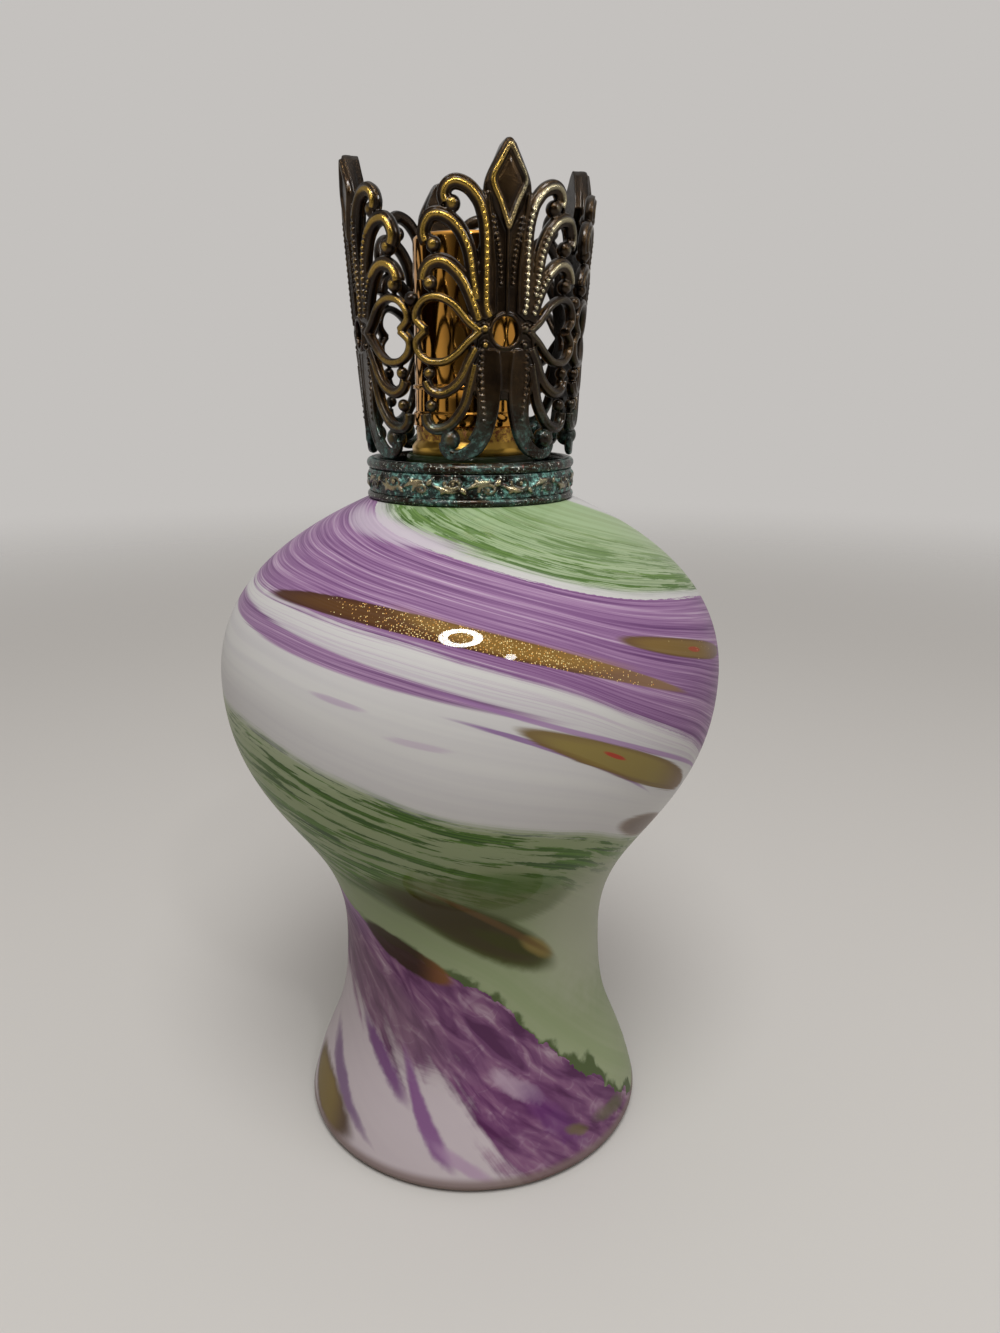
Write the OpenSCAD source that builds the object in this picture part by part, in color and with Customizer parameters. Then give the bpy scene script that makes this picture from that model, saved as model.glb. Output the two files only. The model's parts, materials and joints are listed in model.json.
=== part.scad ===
// Perfume lamp: a swirled glass bottle, a gold collar, a catalytic burner with its wick,
// a gold snuffer cap and a cast filigree crown that stands round them.
// Millimetres. The origin is the centre of the foot, +Z is up and the front faces -Y.

/* [Glass bottle] */
// Widest radius of the bulb
bulb_r = 47.5; // [42:0.5:56]
// Height of the widest place above the table
bulb_z = 95.5; // [90:0.5:100]
// Smallest radius of the waist
waist_r = 26.3; // [23:0.1:32]
// Height of the waist above the table
waist_z = 40; // [36:0.5:44]
// Radius of the foot
foot_r = 34.9; // [31:0.1:42]
// Height of the rounded edge of the foot
foot_edge_h = 2; // [1:0.1:3]
// Radius of the hollow under the foot
punt_r = 24; // [15:0.5:27]
// Depth of the hollow under the foot
punt_h = 2.2; // [1:0.1:4]
// Thickness of the glass wall
glass_wall = 4; // [3:0.1:5]
// Thickness of the glass floor under the fuel
floor_t = 9; // [6:0.1:12]
// Height of the flat seat on the shoulder that carries the crown
seat_z = 127.6; // [124:0.1:132]
// Height of the neck above that seat
neck_h = 7.9; // [6:0.1:11]
// Outer radius of the neck
neck_r = 11.8; // [11:0.1:13.5]
// Radius of the fillet where the neck rises from the shoulder
neck_fillet_r = 3.4; // [2:0.1:3.6]
// Radius of the neck's rounded lip
lip_r = 0.8; // [0.4:0.1:1]
// Radius of the bore through the neck
neck_bore_r = 8.2; // [7.8:0.05:9]

/* [Collar] */
// Radius of the collar's flange on the neck
flange_r = 10.7; // [10.2:0.1:11.4]
// Height of the upright edge of the flange
flange_edge_h = 1.3; // [0.8:0.1:2]
// Height of the sloping top of the flange
flange_slope_h = 1.1; // [0.5:0.1:2]
// Height of the collar's body above the flange
collar_body_h = 2.6; // [1.5:0.1:5]
// Height of the spigot that guides the cap
spigot_h = 2.4; // [1.5:0.1:4]
// Radius of the bore through the collar
collar_bore_r = 6.9; // [6.5:0.05:7.1]
// How far the collar's body lies inside the cap's wall
collar_inset = 0.1; // [0:0.05:0.3]
// Size of the bevel at the top of the spigot
spigot_bevel = 0.3; // [0.1:0.05:0.5]
// Length of the skirt inside the glass neck
skirt_h = 8; // [5:0.5:11]
// Thickness of the cement round the skirt
cement_t = 0.5; // [0.3:0.05:0.6]

/* [Burner] */
// Radius of the porous stone above its holder
stone_r = 6.5; // [6:0.1:6.8]
// Height of the stone above its holder's flange
stone_h = 15; // [8:0.5:22]
// Radius of the stone's shank inside the holder
shank_r = 5.5; // [5:0.1:5.8]
// Length of the shank below the flange
shank_h = 9; // [7:0.5:12]
// Size of the bevel round the top of the stone
stone_bevel = 0.8; // [0.3:0.1:1.2]
// Radius of the well in the top of the stone
well_r = 3.6; // [2.5:0.1:4.5]
// Depth of the well
well_h = 5; // [2:0.5:7]
// Thickness of the holder's flange
holder_flange_t = 0.8; // [0.5:0.1:1.2]
// Height of the holder's cup round the stone
holder_cup_h = 4; // [2:0.1:6]
// Thickness of the holder's cup wall
holder_wall = 0.7; // [0.4:0.05:0.8]
// Length of the holder's sleeve in the collar
sleeve_h = 9.5; // [6:0.5:12]
// Radius of the cotton wick
wick_r = 2.5; // [1.5:0.1:3]
// Depth of the socket that the wick is glued in
wick_socket_h = 6; // [3:0.5:6.5]
// Gap between the end of the wick and the glass floor
wick_foot_gap = 3; // [1:0.5:15]

/* [Snuffer cap] */
// Outer radius of the cap
cap_r = 9.95; // [9.8:0.05:10.3]
// Height of the cap above the collar's body
cap_h = 32.1; // [28:0.1:38]
// Thickness of the cap's sheet
cap_wall = 0.6; // [0.4:0.05:0.8]
// Radius of the round edge at the top of the cap
cap_edge_r = 0.9; // [0.8:0.1:2]
// Height of the rolled bead above the cap's lower edge
cap_bead_z = 6.7; // [5:0.1:12]
// Radius of the rolled bead
cap_bead_r = 0.45; // [0.3:0.05:0.7]
// Height of the turned-out rim at the lower edge
cap_rim_h = 2.5; // [1.5:0.1:3.5]
// How far the rim stands out of the wall
cap_rim_out = 0.4; // [0.2:0.05:0.7]
// Thickness of the silicone seal in the cap
seal_t = 1.6; // [1:0.1:2.5]

/* [Crown] */
// Radius of the panels' faces where they meet the band
crown_r = 19.1; // [18.6:0.1:21]
// Radius of the panels' faces at the tips of the spikes
crown_top_r = 22.5; // [20:0.1:26]
// Height of the cast panels
panel_h = 49.3; // [44:0.1:56]
// Thickness of the cast panels
panel_t = 1.9; // [1.4:0.1:2.2]
// How far the panels' flat ground lies behind their ridges
ground_drop = 0.75; // [0.4:0.05:1]
// Width of the main scrolls
scroll_w = 2.1; // [1.6:0.1:2.4]
// Width of the heart's wire
heart_w = 1.25; // [1:0.05:1.6]
// Width of the lower hooks
hook_w = 1.7; // [1.3:0.1:2]
// Radius of the round hole in each panel
hole_r = 2.35; // [1.5:0.05:2.6]
// Radius of the solder bead between two panels
seam_bead_r = 1.15; // [0.8:0.05:1.4]
// Radius of the wire along the top of the band
top_wire_r = 0.95; // [0.7:0.05:1.2]
// Radius of the wire along the foot of the band
foot_wire_r = 0.7; // [0.5:0.05:0.9]
// Height of the ornamented band between its wires
band_h = 4; // [3:0.1:6]
// Thickness of the band
band_t = 1.1; // [0.8:0.1:1.6]
// Turn of the crown away from the front
crown_turn = 17; // [0:1:89]

/* [Hidden] */
$fn = 96;
// The well in the stone is this much narrower at its floor
well_taper = 0.8;
// Clearances: between pieces that slide past each other, under a piece that lifts off, and from
// the heart of a panel to the seam
slide_gap = 0.15;
seat_gap = 0.05;
joint_gap = 0.2;
// Points along each curve of the glass, and the angle between neighbouring panels
curve_steps = 14;
panel_angle = 90;
// Heights that follow from the sizes above
neck_top = seat_z + neck_h;
flange_top = neck_top + flange_edge_h + flange_slope_h;
cap_seat = flange_top + collar_body_h;
spigot_top = cap_seat + spigot_h;
holder_seat = spigot_top + seat_gap;
stone_seat = holder_seat + holder_flange_t;
shank_end = holder_seat - shank_h;
seal_seat = stone_seat + seat_gap;
// Radii that follow from them
cap_bore_r = cap_r - cap_wall;
spigot_r = cap_bore_r - slide_gap;
sleeve_r = collar_bore_r - slide_gap;
holder_flange_r = spigot_r - slide_gap;
holder_cup_r = stone_r + holder_wall;
skirt_r = neck_bore_r - cement_t;
// Heights of the crown's parts
band_z = seat_z + seat_gap + 2 * foot_wire_r;
panel_z = band_z + band_h + 2 * top_wire_r;
// The crown's panels are drawn flat: u runs along the arc from the middle of the panel, and v
// up from the top of the band. The drawing is as wide as a quarter of this cone.
draw_low = 1.1;
draw_high = 50.4;
draw_r = 19.1;
draw_top_r = 22.5;
// Millimetres on the crown for one of the drawing
draw_scale = crown_r / draw_r;

// Points on a cubic curve from a to d, with b and c as its handles
function bezier(a, b, c, d, n = curve_steps) =
    [for (i = [0 : n]) let (t = i / n, s = 1 - t)
        s * s * s * a + 3 * s * s * t * b + 3 * s * t * t * c + t * t * t * d];
// Points on an arc in the r, z plane
function arc(centre, r, from, to, n = 6) =
    [for (i = [0 : n]) let (w = from + (to - from) * i / n) centre + r * [cos(w), sin(w)]];
// A smooth curve through every point of a list, with n steps to each stretch
function smooth(p, n) = let (last = len(p) - 1)
    [for (i = [0 : last - 1], k = [0 : n - (i == last - 1 ? 0 : 1)])
        let (t = k / n, a = p[max(i - 1, 0)], b = p[i], c = p[i + 1], d = p[min(i + 2, last)])
        0.5 * (2 * b + (c - a) * t + (2 * a - 5 * b + 4 * c - d) * t * t
            + (3 * b - a - 3 * c + d) * t * t * t)];
function unit(a) = a / norm(a);
// The direction to the left of travel at point i of a list
function left_of(p, i) = let (last = len(p) - 1, t = unit(p[min(i + 1, last)] - p[max(i - 1, 0)]))
    [-t[1], t[0]];

// Handles of the glass's curves: how far the outline runs on from the foot, the waist, the bulb
// and the crown's seat before it bends
foot_handle = [-3.6, 16];
waist_handle_down = 22.7;
waist_handle_up = 25;
bulb_handle_down = 26.2;
bulb_handle_up = 12.8;
seat_handle = [20, -8.8];
// Where the shoulder's curve ends, just outside and under the crown's seat
seat_edge = [crown_r + 0.3, seat_z - 0.2];
// The outside of the glass from the foot's edge to the crown's seat, as r and z
glass_curve = concat(
    bezier([foot_r, foot_edge_h], [foot_r, foot_edge_h] + foot_handle,
        [waist_r, waist_z - waist_handle_down], [waist_r, waist_z]),
    bezier([waist_r, waist_z], [waist_r, waist_z + waist_handle_up],
        [bulb_r, bulb_z - bulb_handle_down], [bulb_r, bulb_z]),
    bezier([bulb_r, bulb_z], [bulb_r, bulb_z + bulb_handle_up], seat_edge + seat_handle, seat_edge));
glass_last = len(glass_curve) - 1;
// The inside of the glass lies one wall further in. It ends in a small bevel at the floor, and
// rises a little more to the foot of the bore.
floor_bevel = 0.6;
bore_rise = 1.5;
inner_curve = [for (i = [0 : glass_last])
    let (q = glass_curve[i] + glass_wall * left_of(glass_curve, i))
    if (q[1] > floor_t + floor_bevel / 2) q];
inner_last = len(inner_curve) - 1;

module glass_bottle() {
    color([0.72, 0.60, 0.78, 0.6])
    rotate_extrude()
    polygon(concat(
        [[0, punt_h]],
        bezier([punt_r * 0.25, punt_h], [punt_r * 0.6, punt_h], [punt_r * 0.85, punt_h * 0.5],
            [punt_r, 0], 6),
        arc([foot_r - foot_edge_h, foot_edge_h], foot_edge_h, -90, 0),
        [for (i = [1 : glass_last]) if (glass_curve[i] != glass_curve[i - 1]) glass_curve[i]],
        [[crown_r, seat_z]],
        arc([neck_r + neck_fillet_r, seat_z + neck_fillet_r], neck_fillet_r, 270, 180),
        arc([neck_r - lip_r, neck_top - lip_r], lip_r, 0, 90, 4),
        [[neck_bore_r, neck_top],
            [neck_bore_r, inner_curve[inner_last][1] + bore_rise]],
        [for (i = [inner_last : -1 : 1]) if (inner_curve[i] != inner_curve[i - 1]) inner_curve[i]],
        [[inner_curve[0][0] - floor_bevel, floor_t], [0, floor_t]]));
}

module neck_collar() {
    color([0.83, 0.62, 0.22])
    rotate_extrude()
    polygon([
        [collar_bore_r, neck_top - skirt_h],
        [skirt_r, neck_top - skirt_h],
        [skirt_r, neck_top],
        [flange_r, neck_top],
        [flange_r, neck_top + flange_edge_h],
        [cap_r - collar_inset, flange_top],
        [cap_r - collar_inset, cap_seat],
        [spigot_r, cap_seat],
        [spigot_r, spigot_top - spigot_bevel],
        [spigot_r - spigot_bevel, spigot_top],
        [collar_bore_r, spigot_top]]);
}

module collar_cement() {
    color([0.88, 0.86, 0.80])
    translate([0, 0, neck_top - skirt_h])
    difference() {
        cylinder(r = neck_bore_r, h = skirt_h);
        translate([0, 0, -1]) cylinder(r = skirt_r, h = skirt_h + 2);
    }
}

module burner_holder() {
    color([0.80, 0.62, 0.30])
    rotate_extrude()
    polygon([
        [shank_r, holder_seat - sleeve_h],
        [sleeve_r, holder_seat - sleeve_h],
        [sleeve_r, holder_seat],
        [holder_flange_r, holder_seat],
        [holder_flange_r, stone_seat],
        [holder_cup_r, stone_seat],
        [holder_cup_r, stone_seat + holder_cup_h],
        [stone_r, stone_seat + holder_cup_h],
        [stone_r, stone_seat],
        [shank_r, stone_seat]]);
}

module burner_stone() {
    stone_top = stone_seat + stone_h;
    color([0.93, 0.91, 0.86])
    rotate_extrude()
    polygon([
        [wick_r, shank_end],
        [shank_r, shank_end],
        [shank_r, stone_seat],
        [stone_r, stone_seat],
        [stone_r, stone_top - stone_bevel],
        [stone_r - stone_bevel, stone_top],
        [well_r, stone_top],
        [well_r * well_taper, stone_top - well_h],
        [0, stone_top - well_h],
        [0, shank_end + wick_socket_h],
        [wick_r, shank_end + wick_socket_h]]);
}

module cotton_wick() {
    wick_end = floor_t + wick_foot_gap;
    color([0.96, 0.94, 0.88])
    translate([0, 0, wick_end])
    cylinder(r = wick_r, h = shank_end + wick_socket_h - wick_end);
}

module snuffer_cap() {
    cap_top = cap_seat + cap_h;
    rim_r = cap_r + cap_rim_out;
    low = cap_seat + seat_gap;
    color([0.85, 0.60, 0.20])
    rotate_extrude()
    polygon(concat(
        [[cap_bore_r, low], [rim_r, low], [rim_r, low + cap_rim_h - cap_rim_out],
            [cap_r, low + cap_rim_h]],
        arc([cap_r, low + cap_bead_z], cap_bead_r, -90, 90, 8),
        arc([cap_r - cap_edge_r, cap_top - cap_edge_r], cap_edge_r, 0, 90),
        [[0, cap_top], [0, cap_top - cap_wall], [cap_bore_r, cap_top - cap_wall]]));
}

module cap_seal() {
    color([0.75, 0.74, 0.70])
    translate([0, 0, seal_seat])
    difference() {
        cylinder(r = cap_bore_r, h = seal_t);
        translate([0, 0, -1]) cylinder(r = holder_cup_r + slide_gap, h = seal_t + 2);
    }
}

// A wire bent to a ring whose outside is flush with the foot of the panels
module ring_wire(wire_r, z) {
    translate([0, 0, z]) rotate_extrude() translate([crown_r - wire_r, 0]) circle(r = wire_r);
}

module crown_band() {
    color([0.28, 0.33, 0.29])
    translate([0, 0, band_z])
    difference() {
        cylinder(r = crown_r - top_wire_r + band_t / 2, h = band_h);
        translate([0, 0, -1]) cylinder(r = crown_r - top_wire_r - band_t / 2, h = band_h + 2);
    }
}

module band_top_wire() {
    color([0.32, 0.30, 0.25]) ring_wire(top_wire_r, band_z + band_h + top_wire_r);
}

module band_foot_wire() {
    color([0.32, 0.30, 0.25]) ring_wire(foot_wire_r, band_z - foot_wire_r);
}

// A place of the flat drawing laid on the crown's cone, out millimetres off its face
function on_cone(u, v, out) =
    let (f = v / draw_high,
        turn = u / (draw_r + (draw_top_r - draw_r) * f) * 180 / PI,
        r = crown_r + (crown_top_r - crown_r) * f + out,
        z = panel_z + (v - draw_low) * panel_h / (draw_high - draw_low))
    [r * sin(turn), -r * cos(turn), z];

// Half the width of the drawing at height v, where the next panel begins
function seam_u(v) = (draw_r + (draw_top_r - draw_r) * v / draw_high) * panel_angle / 2 * PI / 180;

// A cast strip along a list of drawing places: flat behind, and ridged along its middle. Its
// widths are those of the drawing.
module strip(places, widths, steps = 2) {
    p = smooth([for (i = [0 : len(places) - 1]) [places[i][0], places[i][1],
        is_list(widths) ? widths[i] : widths]], steps);
    flat = [for (q = p) [q[0], q[1]]];
    across = [[-0.5, -panel_t], [-0.5, -ground_drop], [0, 0], [0.5, -ground_drop], [0.5, -panel_t]];
    n = len(across);
    last = len(p) - 1;
    polyhedron(
        points = [for (i = [0 : last], s = across)
            let (q = flat[i] - p[i][2] * s[0] * left_of(flat, i)) on_cone(q[0], q[1], s[1])],
        faces = concat(
            [[for (k = [0 : n - 1]) k], [for (k = [n - 1 : -1 : 0]) last * n + k]],
            [for (i = [0 : last - 1], k = [0 : n - 1], half = [0, 1])
                let (a = i * n + k, b = i * n + (k + 1) % n)
                half == 0 ? [a, a + n, b] : [b, a + n, b + n]]));
}

// A plate with the same outline on both sides of u = 0: rows of v and half its width there
module plate(rows, front) {
    n = 2;
    wide = n + 1;
    last = len(rows) - 1;
    back = (last + 1) * wide;
    polyhedron(
        points = [for (out = [front, -panel_t], r = rows, k = [0 : n])
            on_cone(r[1] * (2 * k / n - 1), r[0], out)],
        faces = concat(
            [for (i = [0 : last - 1], k = [0 : n - 1], half = [0, 1]) let (a = i * wide + k)
                half == 0 ? [a, a + wide, a + 1] : [a + 1, a + wide, a + wide + 1]],
            [for (i = [0 : last - 1], k = [0 : n - 1], half = [0, 1]) let (a = back + i * wide + k)
                half == 0 ? [a, a + 1, a + wide] : [a + 1, a + wide + 1, a + wide]],
            [for (i = [0 : last - 1], half = [0, 1]) let (a = i * wide, b = back + a)
                half == 0 ? [a, b, a + wide] : [b, b + wide, a + wide]],
            [for (i = [0 : last - 1], half = [0, 1]) let (a = i * wide + n, b = back + a)
                half == 0 ? [a, a + wide, b] : [b, a + wide, b + wide]],
            [for (k = [0 : n - 1], half = [0, 1]) let (a = k, b = back + k)
                half == 0 ? [a, a + 1, b] : [b, a + 1, b + 1]],
            [for (k = [0 : n - 1], half = [0, 1]) let (a = last * wide + k, b = back + a)
                half == 0 ? [a, b, a + 1] : [b, b + 1, a + 1]]));
}

module ball(place, r) {
    translate(on_cone(place[0], place[1], -panel_t / 2)) sphere(r = r * draw_scale, $fn = 8);
}

// The drop that ends a scroll: a ball drawn out towards the strip's end
module drop(end, centre, r) {
    hull() {
        ball(end, r * 0.6);
        ball(centre, r);
    }
}

// One side of a panel. Its places are given for the left, and side = -1 turns them over.
module panel_side(side) {
    function flip(list) = [for (p = list) [p[0] * side, p[1]]];
    // The main strips have real widths, so they are turned into the drawing's
    heart_line = heart_w / draw_scale;
    hook_line = hook_w / draw_scale;
    scroll_line = scroll_w / draw_scale;
    // The lobes of the heart reach almost to the seam with the next panel
    lobe_u = joint_gap + heart_line / 2 - seam_u(24.5);
    top_scroll = flip([[-3.5, 25.5], [-3.5, 31], [-3.6, 37], [-4.4, 40.5], [-5.4, 42.2], [-6.8, 43.5],
        [-8.7, 44.1], [-10.1, 43.5], [-10.6, 42.2], [-10.2, 41.2]]);
    mid_scroll = flip([[-5.0, 27], [-5.6, 30], [-6.3, 34], [-7.6, 36.9], [-9.3, 38.7], [-11, 39.5],
        [-12.7, 39.4], [-13.7, 38.2], [-14, 36.7], [-13.5, 35.6]]);
    low_scroll = flip([[-4.6, 23.8], [-5.6, 26.6], [-7, 29.5], [-8.4, 31.3], [-10, 32.5], [-11.6, 32.8],
        [-13.1, 32.2], [-13.9, 31], [-14.1, 29.9]]);
    heart_top = flip([[-4.4, 22.2], [-6.3, 23.6], [-8.5, 26], [-10.3, 27.1], [-12.2, 27.5],
        [lobe_u + 1.5, 27], [lobe_u + 0.2, 25.6], [lobe_u, 24], [-13.6, 22.4]]);
    heart_low = flip([[-4.4, 22.2], [-6.3, 20.6], [-8, 18.9], [-9.8, 17.7], [-11.6, 17.4],
        [lobe_u + 2.1, 17.7], [lobe_u + 0.5, 19], [lobe_u + 0.1, 20.8], [-13.6, 22.4]]);
    upper_hook = flip([[-5, 19.6], [-6.1, 17.6], [-7.2, 15.2], [-8.8, 13.4], [-11, 12.5], [-12.9, 13.2],
        [-13.7, 14.6]]);
    lower_hook = flip([[-5.2, 17], [-5.9, 14], [-6.6, 11.2], [-7.7, 9.2], [-9.1, 7.6], [-10.7, 6.8],
        [-12.4, 6.8], [-13.5, 7.8], [-13.8, 9.2]]);
    leg = flip([[-2.6, 19.4], [-2.5, 14.5], [-2.6, 10.4], [-2.9, 8.2], [-3.5, 6], [-4.6, 4], [-6.2, 2.6],
        [-7.9, 2.1], [-9.4, 2.3], [-10.5, 3.3], [-10.7, 4.6]]);
    leg_widths = [2.6, 4, 3.8, 3.4, 3.1, 2.8, 2.4, 2, 1.8, 1.6, 1.4];
    strip(top_scroll, scroll_line);
    strip(mid_scroll, scroll_line);
    strip(low_scroll, scroll_line);
    strip(heart_top, heart_line);
    strip(heart_low, heart_line);
    strip(upper_hook, hook_line, 1);
    strip(lower_hook, hook_line, 1);
    strip(leg, leg_widths, 1);
    drop(top_scroll[9], [-9.1 * side, 41], 0.9);
    drop(mid_scroll[9], [-12.1 * side, 35], 0.95);
    drop(low_scroll[8], [-13 * side, 29.5], 0.95);
    drop(upper_hook[6], [-13.1 * side, 15.9], 0.85);
    drop(lower_hook[8], [-12.6 * side, 10.6], 0.8);
    drop(leg[10], [-9.4 * side, 4.7], 1.25);
    ball([-3.6 * side, 22.6], 0.75);
}

module crown_panel(number) {
    // The stem of the panel from the fork of the legs to the tip of the spike
    stem = [[11.4, 4.5], [13, 5.6], [16, 5.8], [19, 5.4], [22, 4.9], [25, 5.4], [29, 5.8], [33, 5.2],
        [37, 4.4], [41, 4.2], [44.3, 4], [47.5, 2.4], [50, 0.8], [draw_high, 0.4]];
    hole_v = 22.2;
    lozenge = [[40, 0.1], [44, 2.1], [47.5, 0.1]];
    lozenge_rim = [[0, 38], [2.5, 44.4], [0, 49.4]];
    color([0.36, 0.29, 0.18])
    rotate(crown_turn + panel_angle * (number - 1))
    difference() {
        union() {
            plate(stem, -ground_drop);
            plate(lozenge, -ground_drop / 3);
            strip([[0, 37.5], [0, 31], [0, 23]], 1, 1);
            for (side = [-1, 1]) {
                panel_side(side);
                strip([for (p = lozenge_rim) [side * p[0], p[1]]], 0.9, 1);
            }
        }
        translate(on_cone(0, hole_v, -2 * panel_t))
        rotate([90, 0, 0])
        cylinder(r = hole_r, h = 4 * panel_t, $fn = 24);
    }
}

// Solder between two panels, in the notch over the place where their hearts meet
module seam_bead(number) {
    notch_v = 25.5;
    color([0.42, 0.38, 0.32])
    rotate(crown_turn + panel_angle * (number - 0.5))
    translate(on_cone(0, notch_v + 1.5 * seam_bead_r / draw_scale, -panel_t / 2))
    sphere(r = seam_bead_r);
}

glass_bottle();
neck_collar();
collar_cement();
burner_holder();
burner_stone();
cotton_wick();
snuffer_cap();
cap_seal();
crown_band();
band_top_wire();
band_foot_wire();
for (number = [1 : 4]) {
    crown_panel(number);
    seam_bead(number);
}
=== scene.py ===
import json
import math

import bmesh
import bpy
from mathutils import Matrix, Vector
from mathutils.geometry import interpolate_bezier

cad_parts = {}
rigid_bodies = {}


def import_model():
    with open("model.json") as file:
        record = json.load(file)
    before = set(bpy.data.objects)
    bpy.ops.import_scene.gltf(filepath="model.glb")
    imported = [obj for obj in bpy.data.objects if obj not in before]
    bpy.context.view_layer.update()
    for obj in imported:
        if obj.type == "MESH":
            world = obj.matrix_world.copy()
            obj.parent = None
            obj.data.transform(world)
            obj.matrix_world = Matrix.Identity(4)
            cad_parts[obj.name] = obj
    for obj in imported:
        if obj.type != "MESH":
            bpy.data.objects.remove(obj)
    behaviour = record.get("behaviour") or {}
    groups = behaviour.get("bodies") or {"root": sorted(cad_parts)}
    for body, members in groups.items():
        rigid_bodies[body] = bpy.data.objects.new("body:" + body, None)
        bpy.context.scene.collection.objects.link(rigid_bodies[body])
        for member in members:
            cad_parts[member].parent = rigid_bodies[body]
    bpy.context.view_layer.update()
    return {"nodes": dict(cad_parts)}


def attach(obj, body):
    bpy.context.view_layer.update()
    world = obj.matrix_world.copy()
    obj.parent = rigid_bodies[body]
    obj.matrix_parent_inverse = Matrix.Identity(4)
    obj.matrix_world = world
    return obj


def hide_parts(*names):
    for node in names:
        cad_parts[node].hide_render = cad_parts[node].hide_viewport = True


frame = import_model()
mm = 0.001

# Camera, where the photograph was taken from
camera = {
    "focal": 27.28,
    "place": (0, -191.1, 149.1),
    "down": 16.03,
    "right": 1.67,
    "roll": 0.12,
}


def placeCamera():
    data = bpy.data.cameras.new("camera")
    data.lens = camera["focal"]
    data.sensor_width = 36
    data.clip_start = 0.005
    holder = bpy.data.objects.new("camera", data)
    bpy.context.collection.objects.link(holder)
    turn = Matrix.Rotation(math.radians(-camera["right"]), 4, "Z")
    tilt = Matrix.Rotation(math.radians(90 - camera["down"]), 4, "X")
    roll = Matrix.Rotation(math.radians(camera["roll"]), 4, "Z")
    holder.matrix_world = Matrix.Translation(Vector(camera["place"]) * mm) @ turn @ tilt @ roll
    bpy.context.scene.camera = holder


# Node helpers

def tone(red, green, blue):  # a screen colour, 0 to 255, as the linear one that sockets take
    parts = [c / 255 for c in (red, green, blue)]
    return tuple(((p + 0.055) / 1.055) ** 2.4 if p > 0.04 else p / 12.92 for p in parts) + (1,)


def addNode(tree, kind, inputs, **settings):
    made = tree.nodes.new("ShaderNode" + kind)
    for key, value in settings.items():
        setattr(made, key, value)
    for key, value in inputs.items():
        if isinstance(value, bpy.types.NodeSocket):
            tree.links.new(value, made.inputs[key])
        else:
            made.inputs[key].default_value = value
    return made


def calc(tree, operation, *values, clamp=False):
    made = addNode(tree, "Math", dict(enumerate(values)), operation=operation, use_clamp=clamp)
    return made.outputs[0]


def fade(tree, value, low, high):  # 0 below low, 1 above high, smooth between
    made = addNode(tree, "MapRange", {"Value": value, "From Min": low, "From Max": high},
                   interpolation_type="SMOOTHSTEP")
    return made.outputs["Result"]


def mixColour(tree, factor, first, second, mode="MIX"):
    made = addNode(tree, "Mix", {0: factor, 6: first, 7: second}, data_type="RGBA", blend_type=mode)
    return made.outputs[2]


def mixValue(tree, factor, first, second):
    return addNode(tree, "Mix", {0: factor, 2: first, 3: second}).outputs[0]


def ramp(tree, factor, stops):
    made = addNode(tree, "ValToRGB", {"Fac": factor})
    marks = made.color_ramp.elements
    marks[0].position, marks[0].color = stops[0]
    marks[1].position, marks[1].color = stops[-1]
    for place, colour in stops[1:-1]:
        marks.new(place).color = colour
    return made.outputs["Color"]


def noise(tree, vector, scale, detail=4, roughness=0.55, distortion=0.0):
    made = addNode(tree, "TexNoise", {"Vector": vector, "Scale": scale, "Detail": detail,
                                      "Roughness": roughness, "Distortion": distortion})
    return made.outputs["Fac"]


def vector(tree, x, y, z=0.0):
    return addNode(tree, "CombineXYZ", {"X": x, "Y": y, "Z": z}).outputs[0]


def bump(tree, height, strength, distance):
    made = addNode(tree, "Bump", {"Height": height, "Strength": strength, "Distance": distance})
    return made.outputs["Normal"]


def newMaterial(name, **surface):  # surface holds the shader's sockets, with _ for a space
    material = bpy.data.materials.new(name)
    material.use_nodes = True
    shader = material.node_tree.nodes["Principled BSDF"]
    for key, value in surface.items():
        socket = shader.inputs[key.replace("_", " ")]
        socket.default_value = value
    return material, material.node_tree, shader


def objectPlace(tree):  # place on the lamp in millimetres, and its three parts
    here = addNode(tree, "TexCoord", {}).outputs["Object"]
    scaled = addNode(tree, "VectorMath", {0: here, 3: 1 / mm}, operation="SCALE").outputs[0]
    parts = addNode(tree, "SeparateXYZ", {0: scaled}).outputs
    return scaled, parts["X"], parts["Y"], parts["Z"]


# Mesh helpers

def finishPiece(bm, name, body, material, nodes=(), smooth=True):
    bmesh.ops.scale(bm, verts=bm.verts, vec=(mm, mm, mm))
    mesh = bpy.data.meshes.new(name)
    for face in bm.faces:
        face.smooth = smooth
    bm.to_mesh(mesh)
    bm.free()
    piece = bpy.data.objects.new(name, mesh)
    bpy.context.collection.objects.link(piece)
    mesh.materials.append(material)
    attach(piece, body)
    if nodes:
        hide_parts(*nodes)
    return piece


def turned(outline, steps, bevels=0.0):  # a closed outline of (radius, height) spun round the axis
    bm = bmesh.new()
    corners = [bm.verts.new((r, 0, z)) for r, z in outline]
    edges = [bm.edges.new(pair) for pair in zip(corners, corners[1:] + corners[:1])
             if pair[0].co.x > 1e-6 or pair[1].co.x > 1e-6]
    bmesh.ops.spin(bm, geom=corners + edges, cent=(0, 0, 0), axis=(0, 0, 1), angle=math.tau,
                   steps=steps, use_merge=True)
    bmesh.ops.remove_doubles(bm, verts=bm.verts, dist=1e-5)
    bmesh.ops.recalc_face_normals(bm, faces=bm.faces)
    if bevels:
        sharp = [e for e in bm.edges if len(e.link_faces) == 2 and e.calc_face_angle(0) > 0.5
                 and min(v.co.xy.length for v in e.verts) > 0.5]
        bmesh.ops.bevel(bm, geom=sharp, offset=bevels, segments=2, profile=0.5, affect="EDGES",
                        material=-1, clamp_overlap=True)
    return bm


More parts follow.
